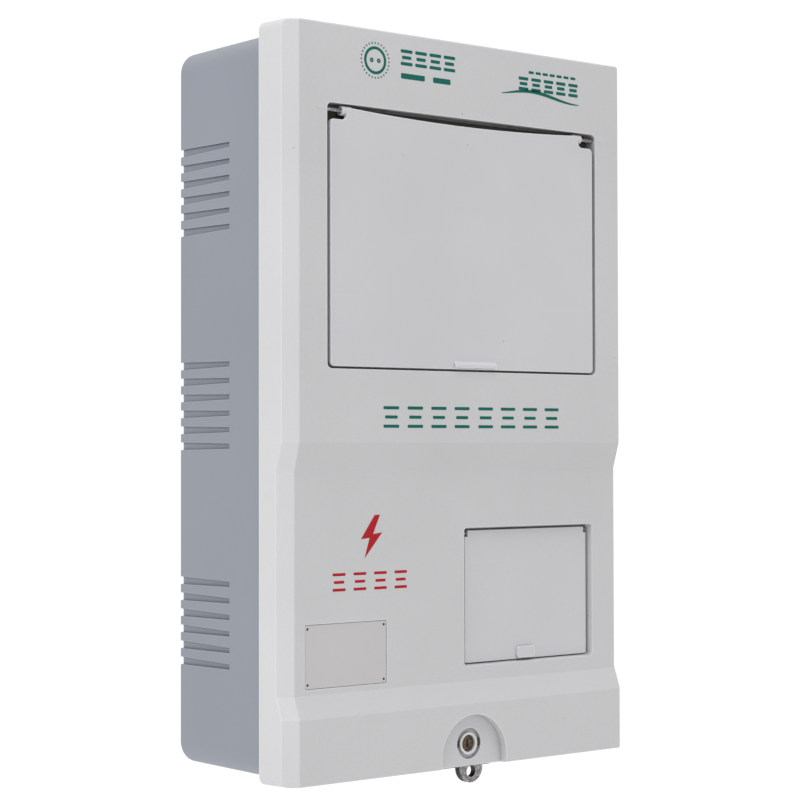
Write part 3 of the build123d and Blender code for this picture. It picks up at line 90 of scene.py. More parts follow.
# %% World and colour
ROOM_STRENGTH, BACKDROP_STRENGTH = 0.69, 1.05
studio = bpy.context.scene
studio.view_settings.view_transform = "Standard"
world = bpy.data.worlds.new("white_studio")
studio.world = world
world.use_nodes = True
world_nodes, world_links = world.node_tree.nodes, world.node_tree.links
world_nodes.clear()
room_light = world_nodes.new("ShaderNodeBackground")
room_light.inputs["Color"].default_value = (1.0, 0.995, 0.985, 1)
room_light.inputs["Strength"].default_value = ROOM_STRENGTH
backdrop = world_nodes.new("ShaderNodeBackground")
backdrop.inputs["Color"].default_value = (1, 1, 1, 1)
backdrop.inputs["Strength"].default_value = BACKDROP_STRENGTH
seen_directly = world_nodes.new("ShaderNodeLightPath")
choose = world_nodes.new("ShaderNodeMixShader")
world_out = world_nodes.new("ShaderNodeOutputWorld")
world_links.new(seen_directly.outputs["Is Camera Ray"], choose.inputs[0])
world_links.new(room_light.outputs[0], choose.inputs[1])
world_links.new(backdrop.outputs[0], choose.inputs[2])
world_links.new(choose.outputs[0], world_out.inputs["Surface"])
print("world strength", room_light.inputs["Strength"].default_value)

# %% [markdown]
# The lamps are square area lamps. Point lamps with a large radius would be as soft, but a square is the
# shape of a real softbox, and its reflection in the gloss looks right.

# %% Lamps


def soft_lamp(name, place, target, width, watts):
    """A wide square area lamp that looks at a target."""
    data = bpy.data.lights.new(name, "AREA")
    data.shape = "SQUARE"
    data.size = width
    data.energy = watts
    lamp = bpy.data.objects.new(name, data)
    studio.collection.objects.link(lamp)
    lamp.location = place
    lamp.rotation_euler = (Vector(target) - Vector(place)).to_track_quat("-Z", "Y").to_euler()
    return lamp


soft_lamp("left_lamp", (-2.7, 0.15, 0.5), (0, 0, 0), 1.8, 26)
soft_lamp("front_lamp", (0.7, -2.8, 1.1), (0, 0, 0), 2.2, 1.5)
soft_lamp("top_lamp", (-0.2, -0.6, 2.4), (0, 0, 0), 2.0, 39)

# %% [markdown]
# The floor is one large square, well below the box because the box hangs on a wall. A curved sweep would
# hide the horizon, but the floor and the world are the same white to the eye, so a flat square does it.

# %% Floor
FLOOR_Z, FLOOR_REACH = -0.62, 8
floor_turns = ((-1, -1), (1, -1), (1, 1), (-1, 1))
floor_corners = [(x * FLOOR_REACH, y * FLOOR_REACH, FLOOR_Z) for x, y in floor_turns]
floor_mesh = bpy.data.meshes.new("pale_floor")
floor_mesh.from_pydata(floor_corners, [], [(0, 1, 2, 3)])
floor = bpy.data.objects.new("pale_floor", floor_mesh)
studio.collection.objects.link(floor)
floor_paint = bpy.data.materials.new("pale_floor")
floor_paint.use_nodes = True
floor_tree = floor_paint.node_tree
floor_shader = floor_tree.nodes["Principled BSDF"]
floor_shader.inputs["Base Color"].default_value = (0.88, 0.88, 0.88, 1)
floor_shader.inputs["Roughness"].default_value = 0.95
floor_shader.inputs["Specular IOR Level"].default_value = 0.1
floor_shader.inputs["Emission Color"].default_value = (1, 1, 1, 1)
floor_shader.inputs["Emission Strength"].default_value = 0.04
# The floor is seen pure white, but throws up only the light that it should.
white_floor = floor_tree.nodes.new("ShaderNodeEmission")
white_floor.inputs["Strength"].default_value = BACKDROP_STRENGTH
floor_seen = floor_tree.nodes.new("ShaderNodeLightPath")
floor_mix = floor_tree.nodes.new("ShaderNodeMixShader")
floor_tree.links.new(floor_seen.outputs["Is Camera Ray"], floor_mix.inputs[0])
floor_tree.links.new(floor_shader.outputs[0], floor_mix.inputs[1])
floor_tree.links.new(white_floor.outputs[0], floor_mix.inputs[2])
floor_tree.links.new(floor_mix.outputs[0], floor_tree.nodes["Material Output"].inputs["Surface"])
floor_mesh.materials.append(floor_paint)
print("floor at", FLOOR_Z)

# %% [markdown]
# ## Shared surface effects
# Several finishes share the same small effects. Each effect is one node group with named inputs and
# outputs, so that a change in one place reaches every material. They read object coordinates, which stay
# with a piece as it swings. The first is moulding grain: the fine spark-eroded texture that a steel mould
# leaves in plastic, with a slow cloudy change of tone on top. A bitmap could do it, but noise has no seams
# and needs no unwrapping.

# %% Node helpers


def new_group(name, inputs, outputs):
    """A shader node group with float inputs and the outputs named. Returns the tree and its two ends."""
    tree = bpy.data.node_groups.new(name, "ShaderNodeTree")
    for label, default in inputs.items():
        socket = tree.interface.new_socket(name=label, in_out="INPUT", socket_type="NodeSocketFloat")
        socket.default_value = default
    for label, kind in outputs.items():
        tree.interface.new_socket(name=label, in_out="OUTPUT", socket_type=kind)
    return tree, tree.nodes.new("NodeGroupInput"), tree.nodes.new("NodeGroupOutput")


def node(tree, kind, settings=None, **inputs):
    """Adds a node, sets its properties, and fills or links its inputs by name or number."""
    made = tree.nodes.new(kind)
    for key, value in (settings or {}).items():
        setattr(made, key, value)
    for key, value in inputs.items():
        socket = made.inputs[int(key[1:])] if key[0] == "_" else made.inputs[key]
        if isinstance(value, bpy.types.NodeSocket):
            tree.links.new(value, socket)
        else:
            socket.default_value = value
    return made


def maths(tree, operation, first, second=0.0, clamp=False):
    """One maths node; returns its output."""
    settings = {"operation": operation, "use_clamp": clamp}
    return node(tree, "ShaderNodeMath", settings, _0=first, _1=second).outputs[0]


def between(tree, value, low, high, to_low=0.0, to_high=1.0):
    """Maps value from low..high to to_low..to_high, clamped."""
    made = node(tree, "ShaderNodeMapRange", {"clamp": True}, Value=value)
    for label, number in (("From Min", low), ("From Max", high), ("To Min", to_low), ("To Max", to_high)):
        made.inputs[label].default_value = number
    return made.outputs[0]


print("helpers ready")

# %% Moulding grain
grain, grain_in, grain_out = new_group(
    "moulding_grain", {"Grain Scale": 1500.0, "Cloud Scale": 9.0},
    {"Height": "NodeSocketFloat", "Tone": "NodeSocketFloat"},
)
fine_scale, cloud_scale = grain_in.outputs["Grain Scale"], grain_in.outputs["Cloud Scale"]
place = node(grain, "ShaderNodeTexCoord").outputs["Object"]
fine = node(grain, "ShaderNodeTexNoise", Vector=place, Scale=fine_scale, Detail=3.0, Roughness=0.6)
coarse = node(grain, "ShaderNodeTexNoise", Vector=place, Scale=cloud_scale, Detail=4.0, Roughness=0.55)
pits = node(grain, "ShaderNodeTexVoronoi", {"feature": "F1"}, Vector=place, Scale=fine_scale)
height = maths(grain, "ADD", fine.outputs["Fac"], maths(grain, "MULTIPLY", pits.outputs["Distance"], 0.5))
tone = maths(grain, "ADD", maths(grain, "MULTIPLY", coarse.outputs["Fac"], 0.55),
             maths(grain, "MULTIPLY", fine.outputs["Fac"], 0.45))
grain.links.new(height, grain_out.inputs["Height"])
grain.links.new(tone, grain_out.inputs["Tone"])
print("grain group:", len(grain.nodes), "nodes")

# %% [markdown]
# Plastic that has been handled and stored picks up specks of dirt, a few hairline scratches and a little
# dust on its ledges. The specks are the small cores of Voronoi cells, kept in only some of the cells. The
# scratches are noise stretched a hundred to one, cut off near its peak. Dust follows how far a face looks
# up.

# %% Handling marks
marks, marks_in, marks_out = new_group(
    "handling_marks", {"Speck Scale": 70.0, "Speck Size": 0.035, "Scratch Amount": 1.0},
    {"Specks": "NodeSocketFloat", "Scratches": "NodeSocketFloat", "Dust": "NodeSocketFloat"},
)
coords = node(marks, "ShaderNodeTexCoord")
place = coords.outputs["Object"]
speck_scale = marks_in.outputs["Speck Scale"]
cells = node(marks, "ShaderNodeTexVoronoi", {"feature": "F1"}, Vector=place, Scale=speck_scale)
core = maths(marks, "LESS_THAN", cells.outputs["Distance"], marks_in.outputs["Speck Size"])
SPECKLESS_CELLS = 0.72
cell_number = node(marks, "ShaderNodeSeparateColor", Color=cells.outputs["Color"]).outputs[0]
some = maths(marks, "GREATER_THAN", cell_number, SPECKLESS_CELLS)
marks.links.new(maths(marks, "MULTIPLY", core, some), marks_out.inputs["Specks"])
total = None
for lean, seed in ((0.5, 0.0), (-0.9, 3.7), (1.4, 8.1)):
    turned = node(marks, "ShaderNodeMapping", Vector=place)
    turned.inputs["Rotation"].default_value = (0.2 * seed, lean, 0.1 * seed)
    turned.inputs["Location"].default_value = (seed, seed, seed)
    turned.inputs["Scale"].default_value = (9, 9, 900)
    streak = node(marks, "ShaderNodeTexNoise", Vector=turned.outputs[0], Scale=1.0, Detail=1.0)
    line = between(marks, streak.outputs["Fac"], 0.735, 0.78)
    total = line if total is None else maths(marks, "MAXIMUM", total, line)
patch = node(marks, "ShaderNodeTexNoise", Vector=place, Scale=14.0, Detail=2.0)
total = maths(marks, "MULTIPLY", total, between(marks, patch.outputs["Fac"], 0.52, 0.66))
scratched = maths(marks, "MULTIPLY", total, marks_in.outputs["Scratch Amount"])
marks.links.new(scratched, marks_out.inputs["Scratches"])
upward = node(marks, "ShaderNodeSeparateXYZ", Vector=coords.outputs["Normal"]).outputs["Z"]
drift = node(marks, "ShaderNodeTexNoise", Vector=place, Scale=60.0, Detail=6.0)
ledges = between(marks, upward, 0.3, 1.0)
drifts = between(marks, drift.outputs["Fac"], 0.35, 0.75)
dust = maths(marks, "MULTIPLY", ledges, drifts)
marks.links.new(dust, marks_out.inputs["Dust"])
print("marks group:", len(marks.nodes), "nodes")

# %% [markdown]
# Outside edges get a painted highlight, thin pale lines where the fillets would catch the lamps, and grooves
# and gaps get painted shade, dark where little light reaches. Short ambient-occlusion rays find both: rays
# sent into the body escape near an outside edge, and rays sent out of it are stopped in a groove. This needs
# no drawn mask, and follows every new edge of the CAD model.

# %% Painted highlight and shade mask
light_and_shade, light_and_shade_in, light_and_shade_out = new_group(
    "painted_highlight_and_shade", {"Highlight Reach": 0.00075, "Shade Reach": 0.0045},
    {"Highlight": "NodeSocketFloat", "Shade": "NodeSocketFloat"},
)
highlight_reach, shade_reach = light_and_shade_in.outputs["Highlight Reach"], light_and_shade_in.outputs["Shade Reach"]
# Both masks paint light: a pale highlight on outside edges and dark shade in grooves and gaps.
into_body = node(light_and_shade, "ShaderNodeAmbientOcclusion", {"inside": True, "samples": 6}, Distance=highlight_reach)
out_of_body = node(light_and_shade, "ShaderNodeAmbientOcclusion", {"samples": 6}, Distance=shade_reach)
light_and_shade.links.new(between(light_and_shade, into_body.outputs["AO"], 0.98, 0.62), light_and_shade_out.inputs["Highlight"])
light_and_shade.links.new(between(light_and_shade, out_of_body.outputs["AO"], 0.62, 0.10), light_and_shade_out.inputs["Shade"])
print("edge group:", len(light_and_shade.nodes), "nodes")

# %% [markdown]
# ## Plastics
# Every plastic here is the same recipe with its own numbers: base colour moved a little by the cloudy tone,
# specks and dust over it, grain in the bump, and roughness that breaks up where it has been touched.

# %% Plastic recipe
# The first two tones are painted light: a painted highlight on outside edges and painted shade in grooves
# and gaps.
EDGE_HIGHLIGHT_TONE, CREVICE_SHADE_TONE, SPECK_TONE, SCRATCH_TONE = 1.45, 0.16, 0.35, 1.25
SCRATCH_SHOW = 0.25
DUST_COLOUR = (0.55, 0.53, 0.50)


def mix_colours(tree, amount, first, second):
    """Blends two colours by a mask; each may be a colour or a socket."""
    made = node(tree, "ShaderNodeMix", {"data_type": "RGBA", "clamp_factor": True}, _0=amount)
    for index, value in ((6, first), (7, second)):
        if isinstance(value, bpy.types.NodeSocket):
            tree.links.new(value, made.inputs[index])
        else:
            made.inputs[index].default_value = (*value[:3], 1)
    return made.outputs[2]


def shade(colour, factor):
    """A colour made darker or lighter."""
    return tuple(min(1.0, c * factor) for c in colour[:3])


def plastic(name, colour, roughness=0.42, grain_scale=1500.0, bump=0.000006, specks=0.0, scratches=0.3,
            dust=0.12, edge_highlight=0.0, crevice_shade=0.0, cloud=0.04, specular=0.5):
    """Moulded plastic: tone, specks, scratches, dust, painted highlights on edges, painted shade in crevices
    and grain.
    """
    made = bpy.data.materials.new(name)
    made.use_nodes = True
    tree = made.node_tree
    shader = tree.nodes["Principled BSDF"]
    moulded = node(tree, "ShaderNodeGroup", {"node_tree": grain})
    moulded.inputs["Grain Scale"].default_value = grain_scale
    handled = node(tree, "ShaderNodeGroup", {"node_tree": marks})
    handled.inputs["Scratch Amount"].default_value = scratches
    tone = between(tree, moulded.outputs["Tone"], 0.35, 0.65)
    paint = mix_colours(tree, tone, shade(colour, 1 - cloud), shade(colour, 1 + cloud))
    # Painted highlight on outside edges and painted shade in grooves and gaps.
    if edge_highlight or crevice_shade:
        painted_light = node(tree, "ShaderNodeGroup", {"node_tree": light_and_shade})
        highlighted = maths(tree, "MULTIPLY", painted_light.outputs["Highlight"], edge_highlight)
        paint = mix_colours(tree, highlighted, paint, shade(colour, EDGE_HIGHLIGHT_TONE))
        shaded = maths(tree, "MULTIPLY", painted_light.outputs["Shade"], crevice_shade)
        paint = mix_colours(tree, shaded, paint, shade(colour, CREVICE_SHADE_TONE))
    if specks:
        specked = maths(tree, "MULTIPLY", handled.outputs["Specks"], specks)
        paint = mix_colours(tree, specked, paint, shade(colour, SPECK_TONE))
    scored = maths(tree, "MULTIPLY", handled.outputs["Scratches"], SCRATCH_SHOW)
    paint = mix_colours(tree, scored, paint, shade(colour, SCRATCH_TONE))
    dusted = maths(tree, "MULTIPLY", handled.outputs["Dust"], dust)
    paint = mix_colours(tree, dusted, paint, DUST_COLOUR)
    tree.links.new(paint, shader.inputs["Base Color"])
    touched = between(tree, moulded.outputs["Tone"], 0.3, 0.7, roughness - 0.05, roughness + 0.05)
    rough = maths(tree, "ADD", touched, maths(tree, "MULTIPLY", handled.outputs["Dust"], 0.25), clamp=True)
    tree.links.new(rough, shader.inputs["Roughness"])
    shader.inputs["Specular IOR Level"].default_value = specular
    bumped = node(tree, "ShaderNodeBump", Height=moulded.outputs["Height"], Strength=1.0, Distance=bump)
    tree.links.new(bumped.outputs[0], shader.inputs["Normal"])
    return made


# The highlight and shade amounts below paint a pale highlight on outside edges and dark shade in grooves and
# gaps.
FINISHES = {
    "case_plastic": plastic("case_plastic", (0.238, 0.256, 0.298), 0.46, 1100, 0.000030,
                            specks=0.4, edge_highlight=0.30, crevice_shade=1.0),
    "cover_plastic": plastic("cover_plastic", (0.565, 0.568, 0.58), 0.38, 1250, 0.000028,
                             specks=0.6, edge_highlight=0.50, crevice_shade=0.55),
    "flap_plastic": plastic("flap_plastic", (0.580, 0.578, 0.605), 0.32, 1500, 0.000014,
                            specks=0.5, scratches=0.6, edge_highlight=0.6, crevice_shade=0.5),
    "sleeve_plastic": plastic("sleeve_plastic", (0.62, 0.62, 0.62), 0.36, 1700, edge_highlight=0.6, crevice_shade=0.7),
    "board_plastic": plastic("board_plastic", (0.40, 0.37, 0.31), 0.60, 900, 0.000014, specks=0.5),
    "meter_plastic": plastic("meter_plastic", (0.66, 0.65, 0.60), 0.40, 1500, edge_highlight=0.3),
    "meter_base_plastic": plastic("meter_base_plastic", (0.10, 0.105, 0.11), 0.45, 1500),
    "terminal_plastic": plastic("terminal_plastic", (0.035, 0.035, 0.038), 0.48, 1700),
    "relay_plastic": plastic("relay_plastic", (0.03, 0.03, 0.033), 0.50, 1700),
    "battery_sleeve": plastic("battery_sleeve", (0.07, 0.20, 0.10), 0.28, 2200, 0.000003),
    "button_plastic": plastic("button_plastic", (0.05, 0.11, 0.24), 0.30, 2200, 0.000003, edge_highlight=0.5),
    "breaker_plastic": plastic("breaker_plastic", (0.72, 0.72, 0.69), 0.38, 1700, edge_highlight=0.3),
    "toggle_plastic": plastic("toggle_plastic", (0.03, 0.03, 0.035), 0.34, 2200, edge_highlight=0.8),
    "clip_plastic": plastic("clip_plastic", (0.55, 0.10, 0.05), 0.40, 1700),
    "wire_brown": plastic("wire_brown", (0.13, 0.055, 0.028), 0.36, 2400, 0.000003),
    "wire_blue": plastic("wire_blue", (0.025, 0.085, 0.34), 0.36, 2400, 0.000003),
    # The seal is black rubber, and its black also paints the shade in the seam between cover and case.
    "seal_rubber": plastic("seal_rubber", (0.022, 0.022, 0.024), 0.68, 1900, 0.000012, specular=0.3),
}
print(len(FINISHES), "plastics")

# %% [markdown]
# ## Metals
# Zinc plating crystallises into dull spangles, which Voronoi cells copy well. The same group adds fine
# noise stretched along one axis to the height, for the direction that turned and brushed metal has.

# %% Spangle group
spangle, spangle_in, spangle_out = new_group(
    "zinc_spangle", {"Cell Scale": 900.0, "Brush Scale": 40.0},
    {"Tone": "NodeSocketFloat", "Height": "NodeSocketFloat"},
)
place = node(spangle, "ShaderNodeTexCoord").outputs["Object"]
cells = node(spangle, "ShaderNodeTexVoronoi", Vector=place, Scale=spangle_in.outputs["Cell Scale"])
cell_tone = node(spangle, "ShaderNodeSeparateColor", Color=cells.outputs["Color"]).outputs[1]
blotch = node(spangle, "ShaderNodeTexNoise", Vector=place, Scale=350.0, Detail=5.0, Roughness=0.7)
stretched = node(spangle, "ShaderNodeMapping", Vector=place)
stretched.inputs["Scale"].default_value = (4.0, 60.0, 60.0)
brush_scale = spangle_in.outputs["Brush Scale"]
brushed = node(spangle, "ShaderNodeTexNoise", Vector=stretched.outputs[0], Scale=brush_scale, Detail=3.0)
both = maths(spangle, "ADD", maths(spangle, "MULTIPLY", cell_tone, 0.45),
             maths(spangle, "MULTIPLY", blotch.outputs["Fac"], 0.55))
spangle.links.new(both, spangle_out.inputs["Tone"])
relief = maths(spangle, "ADD", brushed.outputs["Fac"], blotch.outputs["Fac"])
spangle.links.new(relief, spangle_out.inputs["Height"])
print("spangle group:", len(spangle.nodes), "nodes")

# %% [markdown]
# Every metal is one recipe as well: a dark and a bright tone, spread by the spangle. Painted steel could be
# a plastic, but bare and plated metal needs Metallic at one, so it has a recipe of its own.

# %% Metal recipe
DULL = 0.12


def metal(name, dark, bright, roughness=0.38, cell_scale=900.0, bump=0.00001, side_shade=0.0):
    """Plated or machined metal: two tones spread by the spangle, with roughness and a faint bump to match.
    The last argument paints shade onto the side faces of a front-facing plate: every face that looks neither
    front nor back is darkened."""
    made = bpy.data.materials.new(name)
    made.use_nodes = True
    tree = made.node_tree
    shader = tree.nodes["Principled BSDF"]
    plated = node(tree, "ShaderNodeGroup", {"node_tree": spangle})
    plated.inputs["Cell Scale"].default_value = cell_scale
    tone = between(tree, plated.outputs["Tone"], 0.3, 0.7)
    sheen = mix_colours(tree, tone, dark, bright)
    # Painted shade: faces that look neither front nor back are darkened.
    if side_shade:
        own_normal = node(tree, "ShaderNodeTexCoord").outputs["Normal"]
        facing = node(tree, "ShaderNodeSeparateXYZ", Vector=own_normal)
        side_shade_amount = between(tree, maths(tree, "ABSOLUTE", facing.outputs["Y"]), 0.75, 0.35, 0.0, side_shade)
        sheen = mix_colours(tree, side_shade_amount, sheen, shade(dark, 0.25))
    tree.links.new(sheen, shader.inputs["Base Color"])
    shader.inputs["Metallic"].default_value = 1.0
    rough = between(tree, plated.outputs["Tone"], 0.3, 0.7, roughness + DULL, roughness - DULL / 2)
    tree.links.new(rough, shader.inputs["Roughness"])
    bumped = node(tree, "ShaderNodeBump", Height=plated.outputs["Height"], Strength=1.0, Distance=bump)
    tree.links.new(bumped.outputs[0], shader.inputs["Normal"])
    return made


FINISHES.update({
    # The zinc plates get painted shade on their side faces.
    "zinc_steel": metal("zinc_steel", (0.16, 0.155, 0.155), (0.50, 0.49, 0.49), 0.46, 1300, 0.000016,
                        side_shade=0.92),
    "steel_screw": metal("steel_screw", (0.42, 0.42, 0.40), (0.74, 0.74, 0.70), 0.30, 2600),
    "rail_steel": metal("rail_steel", (0.46, 0.46, 0.45), (0.68, 0.68, 0.66), 0.34, 500),
    "lock_bronze": metal("lock_bronze", (0.060, 0.045, 0.035), (0.19, 0.145, 0.115), 0.50, 1500, 0.00002),
    "terminal_brass": metal("terminal_brass", (0.48, 0.33, 0.12), (0.80, 0.60, 0.28), 0.28, 1900),
    "port_metal": metal("port_metal", (0.50, 0.50, 0.50), (0.70, 0.70, 0.70), 0.26, 2600),
})
print("metals:", [n for n in FINISHES if "plastic" not in n])

# %% [markdown]
# ## Clear parts, display, board and inks
# Clear plastic is a plain transmissive shader with a little waviness in its normal, so that reflections
# bend. The display is a pale green glass with dark segments on it. Ink is the plastic recipe too, with a
# cloudier tone and less gloss on the coloured ones.

# %% Clear plastic


def clear_plastic(name, tint, roughness=0.05):
    """Clear moulded sheet: transmission with a faint ripple and handling haze in the roughness."""
    made = bpy.data.materials.new(name)
    made.use_nodes = True
    tree = made.node_tree
    shader = tree.nodes["Principled BSDF"]
    shader.inputs["Base Color"].default_value = (*tint, 1)
    shader.inputs["Transmission Weight"].default_value = 1.0
    shader.inputs["IOR"].default_value = 1.49
    place = node(tree, "ShaderNodeTexCoord").outputs["Object"]
    haze = node(tree, "ShaderNodeTexNoise", Vector=place, Scale=45.0, Detail=5.0)
    hazy = between(tree, haze.outputs["Fac"], 0.4, 0.7, roughness, roughness + 0.10)
    tree.links.new(hazy, shader.inputs["Roughness"])
    ripple = node(tree, "ShaderNodeBump", Height=haze.outputs["Fac"], Strength=0.3, Distance=0.0001)
    tree.links.new(ripple.outputs[0], shader.inputs["Normal"])
    return made


FINISHES["clear_pane"] = clear_plastic("clear_pane", (0.88, 0.91, 0.92))
FINISHES["clear_cover"] = clear_plastic("clear_cover", (0.90, 0.93, 0.94), 0.08)
FINISHES["lcd_glass"] = plastic("lcd_glass", (0.30, 0.36, 0.25), 0.16, 3000, 0.000001,
                                scratches=0.1, dust=0.0)
FINISHES["led_red"] = plastic("led_red", (0.60, 0.03, 0.02), 0.12, 3000, 0.000001, dust=0.0)
FINISHES["label_plate"] = plastic("label_plate", (0.505, 0.495, 0.500), 0.34, 1900, 0.000004,
                                  specks=0.3, edge_highlight=0.15, crevice_shade=0.5)
print("clear parts ready")

# %% [markdown]
# The circuit board is green lacquer over copper tracks. Real tracks could be drawn as meshes, but they sit
# deep behind two clear sheets, so Voronoi cells measured in steps give the same squarish pattern.

# %% Circuit board
board_green = bpy.data.materials.new("circuit_green")
board_green.use_nodes = True
board_tree = board_green.node_tree
board_place = node(board_tree, "ShaderNodeTexCoord").outputs["Object"]
track_settings = {"distance": "MANHATTAN", "feature": "F1"}
tracks = node(board_tree, "ShaderNodeTexVoronoi", track_settings, Vector=board_place, Scale=240.0)
traced = between(board_tree, tracks.outputs["Distance"], 0.45, 0.5)
board_paint = mix_colours(board_tree, traced, (0.012, 0.085, 0.035), (0.03, 0.17, 0.07))
board_tree.links.new(board_paint, board_tree.nodes["Principled BSDF"].inputs["Base Color"])
board_tree.nodes["Principled BSDF"].inputs["Roughness"].default_value = 0.3
FINISHES["circuit_green"] = board_green

COLOURED_INK = {"scratches": 0.5, "cloud": 0.10, "specular": 0.25}
GREEN_INK = plastic("green_ink", (0.0, 0.120, 0.094), 0.6, 1500, 0.000008, **COLOURED_INK)
RED_INK = plastic("red_ink", (0.42, 0.008, 0.016), 0.6, 1500, 0.000008, **COLOURED_INK)
BLACK_INK = plastic("black_ink", (0.03, 0.03, 0.03), 0.45, 1500, scratches=0.3)
WHITE_INK = plastic("white_ink", (0.75, 0.75, 0.75), 0.45, 1500, scratches=0.3)
# Dark brown for the strip that paints the shade in the top gap.
GAP_SHADE = plastic("painted_gap_shade", (0.105, 0.092, 0.080), 0.85, 700, 0.00006, cloud=0.25, specular=0.1)
print("finishes:", len(FINISHES))

# %% [markdown]
# ## Dress the CAD parts
# Each CAD node knows its material slot in the record, so one loop gives every node its finish.

# %% Assign finishes
slot_of = {entry["node"]: entry["material_slot"] for entry in frame["record"]["subparts"]}
for part_name, part in frame["nodes"].items():
    part.data.materials.clear()
    part.data.materials.append(FINISHES[slot_of[part_name]])
print("dressed", len(frame["nodes"]), "CAD nodes")

# %% [markdown]
# ## Printed marks
# The real cover has screen-printed marks. These are plain generic shapes in the same inks: a socket sign
# with stripes, a wave, stacks of short bars and a flash. Ink stands a few hundredths of a millimetre proud,
# so each mark is a very thin raised mesh, which keeps its outline crisp at any distance. Decals on planes
# would do, but need alpha to cut them.

# %% Flat shapes


def place_mesh(name, build, material, body):
    """Makes an object from a bmesh filled by build, gives it a material and a body to ride on."""
    mesh = bpy.data.meshes.new(name)
    work = bmesh.new()
    build(work)
    bmesh.ops.recalc_face_normals(work, faces=work.faces)
    work.to_mesh(mesh)
    work.free()
    mesh.materials.append(material)
    piece = bpy.data.objects.new(name, mesh)
    studio.collection.objects.link(piece)
    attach(piece, body)
    return piece


def add_plate(work, outline, back_y, thickness):
    """A flat plate in a bmesh: outline is (x, z) points in mm, and the plate stands forward from back_y."""
    back = [work.verts.new((x * MM, back_y * MM, z * MM)) for x, z in outline]
    front = [work.verts.new((x * MM, (back_y - thickness) * MM, z * MM)) for x, z in outline]
    count = len(outline)
    work.faces.new(front)
    work.faces.new(back[::-1])
    for i in range(count):
        work.faces.new((back[i], back[(i + 1) % count], front[(i + 1) % count], front[i]))


def add_ring(work, x, z, inner, outer, back_y, thickness, steps=64):
    """A flat ring in the same way."""
    loops = []
    for radius, depth in ((inner, 0), (outer, 0), (outer, thickness), (inner, thickness)):
        turn = [2 * math.pi * i / steps for i in range(steps)]
        loops.append([work.verts.new(((x + radius * math.cos(a)) * MM, (back_y - depth) * MM,
                                      (z + radius * math.sin(a)) * MM)) for a in turn])
    for k in range(4):
        one, two = loops[k], loops[(k + 1) % 4]
        for i in range(steps):
            work.faces.new((one[i], one[(i + 1) % steps], two[(i + 1) % steps], two[i]))


def rounded_bar(x, z, width, height, radius=None, steps=5):
    """Outline of a bar with rounded corners, centred at (x, z)."""
    radius = min(width, height) / 2 if radius is None else radius
    points = []
    for corner_x, corner_z, start in ((1, 1, 0), (-1, 1, 90), (-1, -1, 180), (1, -1, 270)):
        for i in range(steps + 1):
            a = math.radians(start + 90 * i / steps)
            points.append((x + corner_x * (width / 2 - radius) + radius * math.cos(a),
                           z + corner_z * (height / 2 - radius) + radius * math.sin(a)))
    return points


FRONT_Y, LOW_Y, INK = -106.0, -101.4, 0.05


def add_stack(work, x, z, width, height, back_y, stroke):
    """Three short bars, one above the other: a plain stand-in for one printed word."""
    for row in (-1, 0, 1):
        trim = 0.8 if row == 0 else 1.0
        bar = rounded_bar(x, z + row * (height - stroke) / 2, width * trim, stroke, stroke * 0.3, 2)
        add_plate(work, bar, back_y, INK)


print("front plane", FRONT_Y, "lower plane", LOW_Y)

# %% Socket emblem and stripes
DASH_CIRCLE = 9.4


def build_emblem(work):
    middle_x, middle_z = -65.2, 183.2
    add_ring(work, middle_x, middle_z, 5.9, 7.5, FRONT_Y, INK)
    for side in (-1, 1):
        add_ring(work, middle_x + side * 2.4, middle_z, 0.3, 1.25, FRONT_Y, INK, 24)
    for i in range(28):
        a = 2 * math.pi * i / 28
        dash = rounded_bar(0, 0, 1.0, 0.8, 0.2, 2)
        cos_a, sin_a = math.cos(a), math.sin(a)
        turned = []
        for u, v in dash:
            reach = DASH_CIRCLE + u
            turned.append((middle_x + reach * cos_a - v * sin_a, middle_z + reach * sin_a + v * cos_a))
        add_plate(work, turned, FRONT_Y, INK)
    for i in range(4):
        add_stack(work, -43.6 + i * 10.1, 187.0, 8.2, 8.6, FRONT_Y, 1.8)
    for i, width in enumerate((16.6, 12.4)):
        add_plate(work, rounded_bar(-39.2 + i * 20.4, 176.9, width, 3.0, 0.6), FRONT_Y, INK)


place_mesh("emblem_print", build_emblem, GREEN_INK, "cover")

# %% [markdown]
# The wave stands for a second printed mark. It could be a traced curve, but a sine whose thickness swells
# in the middle needs no points of its own.

# %% Wave mark


def build_wave(work):
    for i in range(7):
        add_plate(work, rounded_bar(47.4 + i * 5.4, 188.9, 4.0, 1.5, 0.4, 2), FRONT_Y, INK)
    for i in range(5):
        add_stack(work, 41.5 + i * 9.6, 182.0, 7.4, 7.6, FRONT_Y, 1.8)
    upper, lower = [], []
    for i in range(41):
        t = i / 40
        x = 25.0 + 59.5 * t
        z = 176.0 + 1.8 * math.sin(t * 2 * math.pi * 0.9 - 0.6) - 0.6 * t
        thick = 0.25 + 1.15 * math.sin(math.pi * t) ** 0.8
        upper.append((x, z + thick))
        lower.append((x, z - thick * 0.4))
    add_plate(work, upper + lower[::-1], FRONT_Y, INK)


place_mesh("wave_print", build_wave, GREEN_INK, "cover")

# %% [markdown]
# A row of printed words runs below the window's flap, and a red flash with a second row warns beside the
# breaker's flap. Words are left out, so each is three short bars. The flash is a plain zigzag with seven
# corners.

# %% Dashes and flash


def build_dashes(work):
    for start in (-60.0, 7.0):
        for i in range(4):
            add_stack(work, start + 5.4 + i * 16.6, -7.7, 10.8, 11.6, FRONT_Y, 1.7)


def build_flash(work):
    outline = [(-62.6, -60.2), (-71.8, -72.9), (-66.0, -72.3), (-69.4, -83.2),
               (-57.4, -69.6), (-63.6, -70.3), (-58.9, -60.0)]
    add_plate(work, outline, LOW_Y, INK)
    for i in range(4):
        add_stack(work, -86.4 + i * 13.9, -95.2, 8.6, 9.6, LOW_Y, 1.5)


